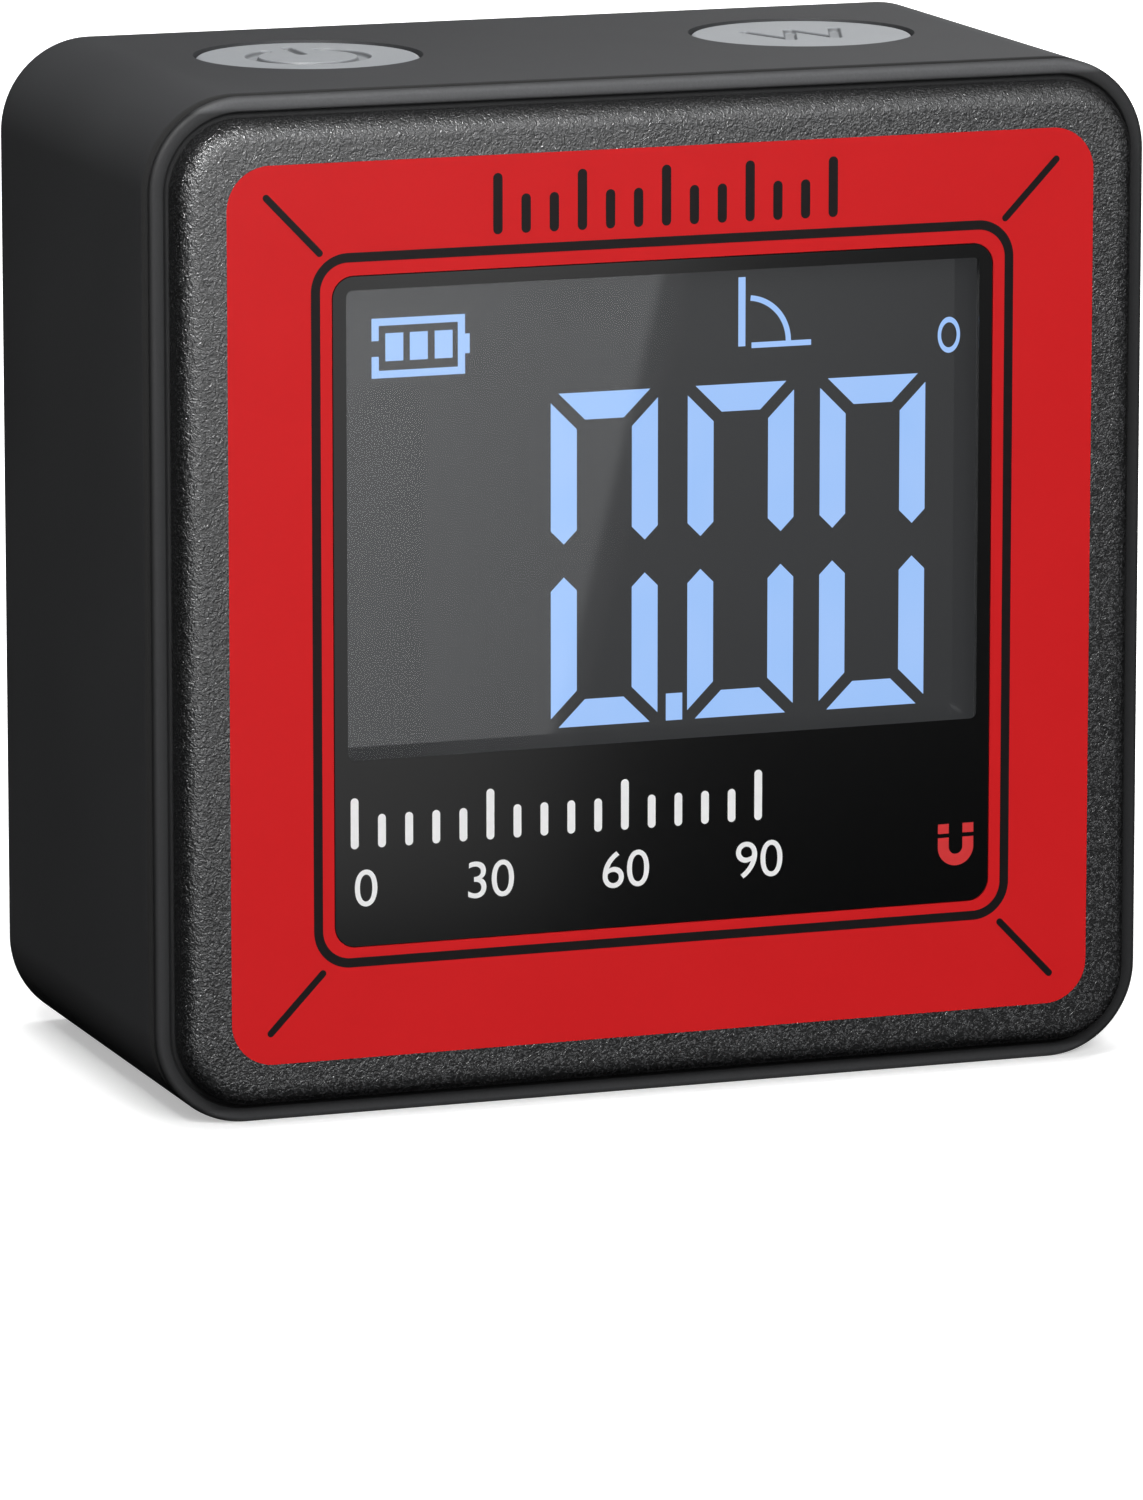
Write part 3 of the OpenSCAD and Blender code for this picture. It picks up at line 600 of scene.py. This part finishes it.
# Display. A negative liquid-crystal cell, dark glass that the backlight shines through only at its segments:
# three figures with a point, a battery sign, an angle sign and a degree ring.
lit_t = 0.01 * MM


def dark_glass(place):
    """Dark grey cell, nearly even, under a polished polariser. Its faint even glow is painted light that
    lifts the cell out of the shade of its recess.
    """
    veil = place.noise(0.08, detail=1.0)
    return {
        "Base Color": veil.blend((0.012, 0.0122, 0.0125), (0.014, 0.0142, 0.0146)),
        # Painted light: a faint even glow that lifts the cell out of its recess's shade.
        "Emission Color": veil.blend((0.026, 0.0266, 0.0276), (0.03, 0.0306, 0.0316)),
        "Roughness": veil.between(0.02, 0.03),
    }


def lit_segment(place):
    """Pale blue backlight through open segments, a little uneven."""
    glow = place.noise(0.3, detail=1.0)
    return {
        "Emission Color": glow.blend((0.335, 0.56, 0.985), (0.40, 0.60, 1.0)),
        "Roughness": glow.between(0.02, 0.03),
    }


glass_finish = finish("display_dark", dark_glass, Specular_IOR_Level=0.44, Emission_Strength=1.0)
lit_finish = finish("display_lit", lit_segment, Base_Color=(0, 0, 0, 1), Specular_IOR_Level=0.44,
                    Emission_Strength=1.0)
coat(nodes["lcd_panel"], glass_finish)

# The cell lies behind the front and is seen from the upper left, so its figures stand right of and below the
# place on the front plane where they show.
shift = np.array([0.45, -0.25]) * MM
digit_w, digit_h, segment_w = 5.77 * MM, 17.2 * MM, 1.4 * MM
digit_foot = 19.5 * MM
digit_lefts = np.array([-6.04, 1.35, 8.55]) * MM
slit = 0.32 * MM
waist = 1.7 * MM
cap_trim, cap_inner_trim, side_trim = 0.1 * MM, 0.12 * MM, 0.15 * MM
point_left, point_right = 0.19 * MM, 1.08 * MM


def digit_outlines(left, foot):
    """The lit segments of a seven-segment nought: six bars with their meeting ends cut at 45 degrees."""
    right, head = left + digit_w, foot + digit_h
    waist_top = foot + digit_h / 2 + waist / 2
    half = segment_w / 2
    cap_in = slit + cap_trim
    cap_inner = segment_w + slit + cap_inner_trim
    side_head = head - slit - side_trim
    top = [(left + cap_in, head), (left + cap_inner, head - segment_w),
           (right - cap_inner, head - segment_w), (right - cap_in, head)]
    upper = [(left, side_head), (left, waist_top + half), (left + half, waist_top),
             (left + segment_w, waist_top + half), (left + segment_w, side_head - segment_w)]
    outlines = [top, upper]
    outlines += [[(left + right - x, z) for x, z in upper[::-1]]]
    outlines += [[(x, foot + head - z) for x, z in part[::-1]] for part in outlines]
    return [np.array(part) for part in outlines]


def arch(centre, radius, width, first, last, steps=24, squash=1.0):
    """The outline of an arc of even width about a centre, squash times as wide as it is high."""
    angle = np.radians(np.linspace(first, last, steps))
    rim = [np.stack([centre[0] + r * squash * np.cos(angle), centre[1] + r * np.sin(angle)], axis=1)
           for r in (radius + width / 2, radius - width / 2)]
    return np.concatenate([rim[0], rim[1][::-1]])


segments = [part for left in digit_lefts for part in digit_outlines(left, digit_foot)]
segments.append(bar(point_left, point_right, digit_foot, digit_foot + segment_w))

cell_left, cell_right, cell_low, cell_high = -15.58 * MM, -10.62 * MM, 38.0 * MM, 41.04 * MM
cell_line = 0.38 * MM
cell_gap_low, cell_gap_high = 39.1 * MM, 39.9 * MM
tip_w, tip_low, tip_high = 0.25 * MM, 39.04 * MM, 40.04 * MM
charge_lefts = np.array([-14.85, -13.55, -12.23]) * MM
charge_w, charge_low, charge_high = 0.95 * MM, 38.85 * MM, 40.27 * MM
segments += [
    bar(cell_left, cell_right, cell_high - cell_line, cell_high),
    bar(cell_left, cell_right, cell_low, cell_low + cell_line),
    bar(cell_right - cell_line, cell_right, cell_low + cell_line, cell_high - cell_line),
    bar(cell_left, cell_left + cell_line, cell_gap_high, cell_high - cell_line),
    bar(cell_left, cell_left + cell_line, cell_low + cell_line, cell_gap_low),
    bar(cell_right, cell_right + tip_w, tip_low, tip_high),
]
segments += [bar(left, left + charge_w, charge_low, charge_high) for left in charge_lefts]

thin_w = 0.28 * MM
angle_upright = bar(4.08 * MM, 4.46 * MM, 38.6 * MM, 42.15 * MM)
angle_base = bar(4.8 * MM, 8.04 * MM, 38.48 * MM, 38.77 * MM)
angle_bow = arch((4.5 * MM, 38.77 * MM), 2.3 * MM, thin_w, 0, 84)
degree_centre, degree_r, degree_squash = (15.6 * MM, 38.6 * MM), 0.79 * MM, 0.66
segments += [angle_upright, angle_base, angle_bow]
segments += [arch(degree_centre, degree_r, thin_w, first, first + 180, squash=degree_squash)
             for first in (0, 180)]
lit = [inlay(outline + shift, glass_front - lit_t, glass_front) for outline in segments]
piece("display_segments", lit, lit_finish, "case", sharp=20)


# Window. An acrylic pane flush with the label. Its border is printed black behind, its clear part is
# polished, and a white scale with a red magnet sign stands in the black strip below the display.
lip_d = 0.03 * MM
flare = 0.42 * MM
view_r = 0.35 * MM
pane_front, pane_back, pane_gap = 0.004 * MM, 0.024 * MM, 0.01 * MM
PANE_IOR = 1.33
PANE_GLOSS = 0.12
black_print = mottled(3.0, (0.0020, 0.0021, 0.0022), (0.0030, 0.0031, 0.0032), 0.22, 0.28)
white_ink = mottled(2.5, (0.80, 0.80, 0.80), (0.86, 0.86, 0.86), 0.45, 0.55)
red_ink = mottled(2.5, (0.58, 0.028, 0.03), (0.64, 0.036, 0.038), 0.45, 0.55)
border_finish = finish("window_border", black_print, Specular_IOR_Level=0.26)
white_finish = finish("print_white", white_ink, Specular_IOR_Level=0.25)
red_finish = finish("print_red", red_ink, Specular_IOR_Level=0.25)
border_rings = [
    sized_ring(view_half, flare, view_r, window_t, view_z),
    sized_ring(view_half, 0, view_r, lip_d, view_z),
    sized_ring(view_half, 0, view_r, 0.0, view_z),
    sized_ring(window_half, 0, window_r, 0.0, window_z),
    sized_ring(window_half, 0, window_r, window_t, window_z),
]
border_shell = loft(border_rings, closed=True)
piece("window_border", [border_shell], border_finish, "case", ["display_window"])

pane_material = bpy.data.materials.new("window_clear")
pane_material.use_nodes = True
pane_tree = pane_material.node_tree
pane_tree.nodes.remove(pane_tree.nodes["Principled BSDF"])
facing = Wire(pane_tree.nodes.new("ShaderNodeFresnel").outputs[0])
facing.socket.node.inputs["IOR"].default_value = PANE_IOR
clear = facing.node("BsdfTransparent", {}, {"Color": (0.97, 0.975, 0.98, 1)})
polish = facing.node("BsdfGlossy", {}, {"Color": (1, 1, 1, 1), "Roughness": 0.0})
pane_mix = facing.node("MixShader", {}, {0: facing * PANE_GLOSS, 1: clear, 2: polish})
pane_tree.links.new(pane_mix.socket, pane_tree.nodes["Material Output"].inputs["Surface"])
pane_rings = [sized_ring(view_half, -pane_gap, view_r, depth, view_z) for depth in (pane_front, pane_back)]
piece("window_pane", [loft(pane_rings)], pane_material, "case")

# The white scale counts a quarter turn: a long stroke at each number and short ones between.
scale_left, scale_pitch, scale_every = -16.7 * MM, 1.45 * MM, 5
figure_h, figure_foot = 1.9 * MM, 11.1 * MM
figure_offsets = {"0": 0.0, "30": 1.2 * MM, "60": 1.2 * MM, "90": 1.2 * MM}
window_scale = stroke_row(scale_left, foot=14.3 * MM, pitch=scale_pitch, count=16, every=scale_every,
                          long=2.2 * MM, short=1.3 * MM, width=0.42 * MM)
piece("window_scale", printed(window_scale), white_finish, "case")


def figures(text, left):
    """Plain figures as a flat mesh: the outline font's own curves, scaled and laid on the front."""
    curve = bpy.data.curves.new("figures", "FONT")
    curve.body = text
    curve.extrude = print_t / 2
    scratch = added("figures", curve)
    mesh = worked_out(scratch)
    bpy.data.objects.remove(scratch)
    local = np.empty(len(mesh.vertices) * 3)
    mesh.vertices.foreach_get("co", local)
    local = local.reshape(-1, 3)
    low, high = local.min(0), local.max(0)
    grow = figure_h / (high[1] - low[1])
    x = left + (local[:, 0] - low[0]) * grow
    y = front_y + np.where(local[:, 2] > 0, -print_t, 0.0)
    z = figure_foot + (local[:, 1] - low[1]) * grow
    return np.stack([x, y, z], axis=1), [list(polygon.vertices) for polygon in mesh.polygons]


scale_figures = [figures(text, scale_left + index * scale_every * scale_pitch - offset)
                 for index, (text, offset) in enumerate(figure_offsets.items())]
piece("window_figures", scale_figures, white_finish, "case")

magnet_sign_x, magnet_sign_foot = 15.94 * MM, 10.96 * MM
bow_r, leg_w, leg_h = 0.68 * MM, 0.6 * MM, 0.5 * MM
pole_gap, pole_h = 0.22 * MM, 0.5 * MM
bow_z = magnet_sign_foot + bow_r + leg_w / 2
pole_z = bow_z + leg_h + pole_gap
magnet_sign = [arch((magnet_sign_x, bow_z), bow_r, leg_w, 180, 360)]
for leg_x in (magnet_sign_x - bow_r, magnet_sign_x + bow_r):
    magnet_sign.append(bar(leg_x - leg_w / 2, leg_x + leg_w / 2, bow_z, bow_z + leg_h))
    magnet_sign.append(bar(leg_x - leg_w / 2, leg_x + leg_w / 2, pole_z, pole_z + pole_h))
piece("window_magnet_sign", printed(magnet_sign), red_finish, "case")


# Keys. Two light grey satin caps in round holes of the top face, each with its sign pressed in. A flange
# below holds each one in, and its plunger rests on a small switch.
sign_depth = 0.22 * MM
sign_soft = 0.07 * MM
rim_r = 0.3 * MM
axis_r = 0.02 * MM
flange_t, plunger_r, plunger_l = 1.0 * MM, 1.8 * MM, 1.8 * MM
KEY_TURNS = 288
SIGN_ROWS = 110


def rounded_step(distance):
    """0 outside a sign and 1 inside it, as a smooth step over the soft edge; distance is positive outside."""
    t = np.clip(0.5 - distance / (2 * sign_soft), 0, 1)
    return t * t * (3 - 2 * t)


def to_stroke(x, y, start, end, width):
    """Distance to a straight stroke with round ends."""
    along = np.array(end) - np.array(start)
    t = np.clip(((x - start[0]) * along[0] + (y - start[1]) * along[1]) / along.dot(along), 0, 1)
    return np.hypot(x - start[0] - t * along[0], y - start[1] - t * along[1]) - width / 2


def power_sign(x, y):
    """Distance to a ring that is open at the back, with a bar in the opening."""
    ring_r, ring_w, open_half = 2.9 * MM, 0.62 * MM, math.radians(30)
    bar_near, bar_far, bar_w = 1.0 * MM, 3.6 * MM, 0.5 * MM
    angle = np.abs(np.arctan2(x, y))
    tip = (ring_r * math.sin(open_half), ring_r * math.cos(open_half))
    to_tip = np.hypot(np.abs(x) - tip[0], y - tip[1])
    band = np.where(angle > open_half, np.abs(np.hypot(x, y) - ring_r), to_tip) - ring_w / 2
    return np.minimum(band, to_stroke(x, y, (0, bar_near), (0, bar_far), bar_w))


def zigzag_sign(x, y):
    """Distance to four slanting strokes that join end to end."""
    half_h, step, width = 1.75 * MM, 1.25 * MM, 0.58 * MM
    corners = [((i - 2) * step, half_h if i % 2 == 0 else -half_h) for i in range(5)]
    return np.minimum.reduce([to_stroke(x, y, a, b, width) for a, b in zip(corners, corners[1:])])


def stamped(profile, flat_r, sign, centre):
    """A turned shell with a sign pressed into its flat top, and how far each point is pressed: heights are
    lowered inside the sign, on a polar grid that is fine out to flat_r. The profile runs from the rim of the
    flat down and back to the axis."""
    radii = np.concatenate([np.linspace(axis_r, flat_r, SIGN_ROWS), profile[:, 0]])
    heights = np.concatenate([np.full(SIGN_ROWS, profile[0, 1]), profile[:, 1]])
    angle = np.linspace(0, 2 * math.pi, KEY_TURNS, endpoint=False)
    x, y = np.outer(radii, np.cos(angle)), np.outer(radii, np.sin(angle))
    pressed = np.where(np.arange(len(radii))[:, None] < SIGN_ROWS, rounded_step(sign(x, y)), 0.0)
    z = heights[:, None] - sign_depth * pressed
    return loft(np.stack([x + centre.x, y + centre.y, z], axis=-1)), pressed.ravel()


def key_plastic(place):
    """Light grey moulded plastic with a fine satin tooth, and painted shade on the walls of the pressed sign.
    """
    tooth = place.noise(11.0, detail=3.0)
    grey = place.noise(0.3).blend((0.285, 0.298, 0.314), (0.315, 0.328, 0.344))
    # Painted shade: darkest on the sign's walls, paler again on its floor.
    painted_sign_shade = place.stored("pressed").graded([(0.0, 1.0), (0.1, 0.85), (0.4, 0.34), (0.75, 0.5), (1.0, 0.8)])
    return {
        "Base Color": grey.times(painted_sign_shade),
        "Roughness": tooth.between(0.38, 0.52),
        "Normal": tooth.bump(0.003 * MM),
    }


key_finish = finish("key_plastic", key_plastic, Specular_IOR_Level=0.4)
for side, name, sign in ((-1, "power", power_sign), (1, "mode", zigzag_sign)):
    low, high = key_box[side]
    flange_z = low.z + plunger_l
    profile = np.concatenate([
        arc((key_r - rim_r, high.z - rim_r), rim_r, 90, 0),
        [(key_r, flange_z + flange_t), (flange_r, flange_z + flange_t), (flange_r, flange_z)],
        [(plunger_r, flange_z), (plunger_r, low.z)],
    ])
    shell, pressed = stamped(profile, key_r - rim_r - axis_r, sign, key_centre[side])
    cap = piece(name + "_cap", [shell], key_finish, name + "_button", [name + "_key"], sharp=50)
    mark(cap, "pressed", pressed)


# Magnets. Four nickel-plated discs with a small chamfer, glued into pockets of the base.
chamfer = 0.25 * MM
hub_r = 0.01 * MM
plating = mottled(1.2, (0.60, 0.60, 0.59), (0.70, 0.70, 0.70), 0.16, 0.34, detail=3.0)
nickel_finish = finish("magnet_nickel", plating, Metallic=1.0)
disc = [(hub_r, magnet_low.z), (magnet_r - chamfer, magnet_low.z), (magnet_r, magnet_low.z + chamfer),
        (magnet_r, magnet_high.z), (hub_r, magnet_high.z)]
discs = [turned(disc, place, "Z", MAGNET_STEPS) for place in magnet_places]
piece("base_magnets", discs, nickel_finish, "case", ["magnets"])


# Small steel and inner pieces. Screws, socket shell, boards, chips, battery and the rest keep their own
# solids and take a finish that suits what they are made of.
def plated_steel(place):
    """Plated steel with fine scratches."""
    brush = place.noise(6.0, detail=4.0, roughness=0.7)
    return {
        "Base Color": brush.blend((0.46, 0.46, 0.465), (0.60, 0.60, 0.605)),
        "Roughness": brush.between(0.25, 0.45),
    }


def plain(dark, pale, smooth):
    """A recipe for a moulded or coated surface, a little rougher where it is paler."""
    return mottled(1.5, dark, pale, smooth, smooth + 0.12, detail=3.0)


steel_finish = finish("plated_steel", plated_steel, Metallic=1.0)
inner_finishes = {
    steel_finish: ["board_screws", "key_board_screws", "charging_socket", "case_screws"],
    finish("adhesive", plain((0.006, 0.006, 0.006), (0.01, 0.01, 0.01), 0.7)): ["window_tape", "battery_pad"],
    finish("white_plastic", plain((0.70, 0.70, 0.69), (0.78, 0.78, 0.77), 0.45)): [
        "backlight", "display_frame", "battery_connector", "power_switch_stem", "mode_switch_stem"],
    finish("contact_rubber", plain((0.2, 0.2, 0.21), (0.3, 0.3, 0.31), 0.6)): ["contact_strip"],
    finish("solder_mask", plain((0.012, 0.095, 0.036), (0.017, 0.12, 0.05), 0.35)): [
        "main_board", "key_board"],
    finish("chip_resin", plain((0.018, 0.018, 0.019), (0.026, 0.026, 0.027), 0.5)): [
        "processor", "tilt_sensor", "charging_chip", "socket_tongue", "power_switch", "mode_switch"],
    finish("battery_foil", plain((0.5, 0.52, 0.53), (0.6, 0.62, 0.63), 0.3), Metallic=0.8): ["battery"],
    finish("lead_red", plain((0.4, 0.015, 0.015), (0.5, 0.025, 0.025), 0.4)): ["battery_leads"],
    finish("ribbon_amber", plain((0.45, 0.26, 0.05), (0.55, 0.34, 0.08), 0.3)): ["key_ribbon"],
}
for material, names in inner_finishes.items():
    for name in names:
        coat(nodes[name], material)


# Studio. A plain pale floor under soft lamps: overhead, in front, at the back and at the upper left, with a
# small spark for the bezel's corner. Cards that only reflections show shape the gloss of the glass and of the
# rolled edges.
AMBIENT = 0.17
floor_half = 3.0


def panel(low, high):
    """The corners, in order, of an upright or level rectangle between its lowest and highest corner."""
    low, high = np.array(low, float), np.array(high, float)
    first, second = np.flatnonzero(high > low)
    corners = np.tile(low, (4, 1))
    corners[[1, 2], first] = high[first]
    corners[[2, 3], second] = high[second]
    return corners.tolist()


def backdrop(name, low, high, material):
    """A flat rectangle of the studio, which isn't part of the object."""
    mesh = bpy.data.meshes.new(name)
    mesh.from_pydata(panel(low, high), [], [(0, 1, 2, 3)])
    mesh.materials.append(material)
    made = added(name, mesh)
    return made


def seen_rays(tree):
    """1 for rays that show a background, also in gloss and through glass, and 0 for those that only light."""
    path = tree.nodes.new("ShaderNodeLightPath")
    kinds = ("Is Camera Ray", "Is Glossy Ray", "Is Transmission Ray")
    total = sum(Wire(path.outputs[kind]) for kind in kinds)
    return total.maths("MINIMUM", total, 1.0)


def pale_floor(place):
    """White where it is seen, a little less near the object so that its shadow stays, and dark as a light."""
    rays = seen_rays(place.socket.id_data)
    reach = place.node("VectorMath", {"operation": "LENGTH"}, {0: place}, output=1)
    far_sockets = {0: reach, 1: 35.0, 2: 100.0, 3: 0.4, 4: 1.0}
    far = reach.node("MapRange", {"interpolation_type": "SMOOTHSTEP"}, far_sockets)
    return {
        "Base Color": rays.blend((0.07, 0.07, 0.07), (0.86, 0.86, 0.86)),
        "Emission Color": (far * rays).blend((0, 0, 0), (1, 1, 1)),
    }


floor_finish = finish("floor", pale_floor, Roughness=0.9, Specular_IOR_Level=0.0, Emission_Strength=1.0)
backdrop("floor", (-floor_half, -floor_half, 0), (floor_half, floor_half, 0), floor_finish)

world = bpy.data.worlds.new("studio")
bpy.context.scene.world = world
world.use_nodes = True
background = world.node_tree.nodes["Background"]
background.inputs["Color"].default_value = (1, 1, 1, 1)
strength = seen_rays(world.node_tree).between(AMBIENT, 1.0)
world.node_tree.links.new(strength.socket, background.inputs["Strength"])


def lamp(name, place, aim, size, power, shines=False):
    """A square soft lamp at a place, in metres, facing a point. One that shines shows in glossy surfaces."""
    light = bpy.data.lights.new(name, "AREA")
    light.shape = "SQUARE"
    light.size = size
    light.energy = power
    made = added(name, light)
    made.location = place
    made.rotation_euler = (Vector(aim) - Vector(place)).to_track_quat("-Z", "Y").to_euler()
    made.visible_glossy = shines
    return made


middle = Vector((0, 0, mid_z))
lit_corner = Vector((-0.0245, front_y, 0.0525))
lamp("top_lamp", (0.05, 0.05, 0.9), middle, size=0.7, power=5.5)
lamp("front_lamp", (-0.05, -0.95, 0.5), middle, size=0.6, power=8.9)
lamp("key_lamp", (-0.4, -0.46, 0.7), middle, size=0.14, power=2.0)
lamp("back_lamp", (0.25, 1.0, 0.3), middle, size=0.6, power=2.5)
spark = lamp("spark_lamp", (-0.1, -0.113, 0.152), lit_corner, size=0.034, power=0.95, shines=True)
spark.visible_diffuse = False


def card(name, low, high, light=0.0, glow=lambda place: {}):
    """A studio card that only reflections show, between two corners in metres. It gives off even light, or
    what its glow says of each place."""
    made = backdrop(name, low, high, finish(name, glow, Base_Color=(0, 0, 0, 1), Specular_IOR_Level=0.0,
                                         Emission_Color=(1, 1, 1, 1), Emission_Strength=light))
    made.visible_camera = False
    made.visible_diffuse = False
    made.visible_shadow = False
    made.visible_transmission = False


def soft_box(place):
    """Bright left of a slanting edge, dimmer right of it and fading downwards and to the right. Bands along
    its top and its far left light the rolled edges."""
    edge_x, edge_z, slant, blur = 9.31, 9.59, 0.2507, 0.417
    x, z = place.axis(0), place.axis(2)
    left = (x - edge_x - (z - edge_z) * slant).rise(blur, -blur)
    height = z.rise(0, 36)
    upright = height.between(1.5, 2.6) - x.rise(-3, 11) * 0.5
    bright = upright + x.rise(-3, -7) * (1.75 - upright)
    dim = height * x.rise(54, 9) * 0.8
    bands = z.rise(50, 65) * 3.6 + x.rise(-24, -39) * 1.75
    return {"Emission Color": (left * bright + (1 - left) * dim + bands).grey()}


def dim_back(place):
    """Dark behind the left of the object, and grey towards the right."""
    return {"Emission Color": (place.axis(0).rise(15, 75) * 0.55).grey()}


box_y = front_y - 0.040
card("soft_box", (-0.065, box_y, 0.001), (0.09, box_y, 0.09), light=1.0, glow=soft_box)
card("left_flag", (-0.15, -0.4, 0), (-0.15, 0.12, 0.25))
card("right_flag", (0.15, -0.4, 0), (0.15, 0.12, 0.25))
card("top_strip", (-0.03, -0.055, 0.152), (0.1, -0.02, 0.152), light=4.0)
card("top_flag", (-0.3, -0.3, 0.16), (0.3, 0.05, 0.16))
card("table_flag", (-0.6, -0.6, 0.0002), (0.6, 0.6, 0.0002))
card("back_flag", (-0.6, 0.12, 0), (0.6, 0.12, 0.3), light=1.0, glow=dim_back)


# Camera. A long lens, placed by the photograph's own perspective, with its frame 1143 by 1500.
FRAME_H, FOCAL_PX = 1500, 10096.8
camera_data = bpy.data.cameras.new("camera")
camera_data.sensor_fit = "VERTICAL"
camera_data.sensor_height = 36.0
camera_data.lens = FOCAL_PX * camera_data.sensor_height / FRAME_H
camera_data.clip_start = 0.01
camera = added("camera", camera_data)
turn, tilt = math.radians(19.778), math.radians(11.170)
ahead = Vector((math.sin(turn) * math.cos(tilt), math.cos(turn) * math.cos(tilt), -math.sin(tilt)))
right = Vector((math.cos(turn), -math.sin(turn), 0))
up = right.cross(ahead)
camera_place = Vector((-175.07, -472.72, 117.61)) * MM + Vector((0, front_y, 0))
camera.matrix_world = Matrix.Translation(camera_place) @ Matrix((right, up, -ahead)).transposed().to_4x4()
bpy.context.scene.camera = camera
bpy.context.scene.view_settings.view_transform = "Standard"
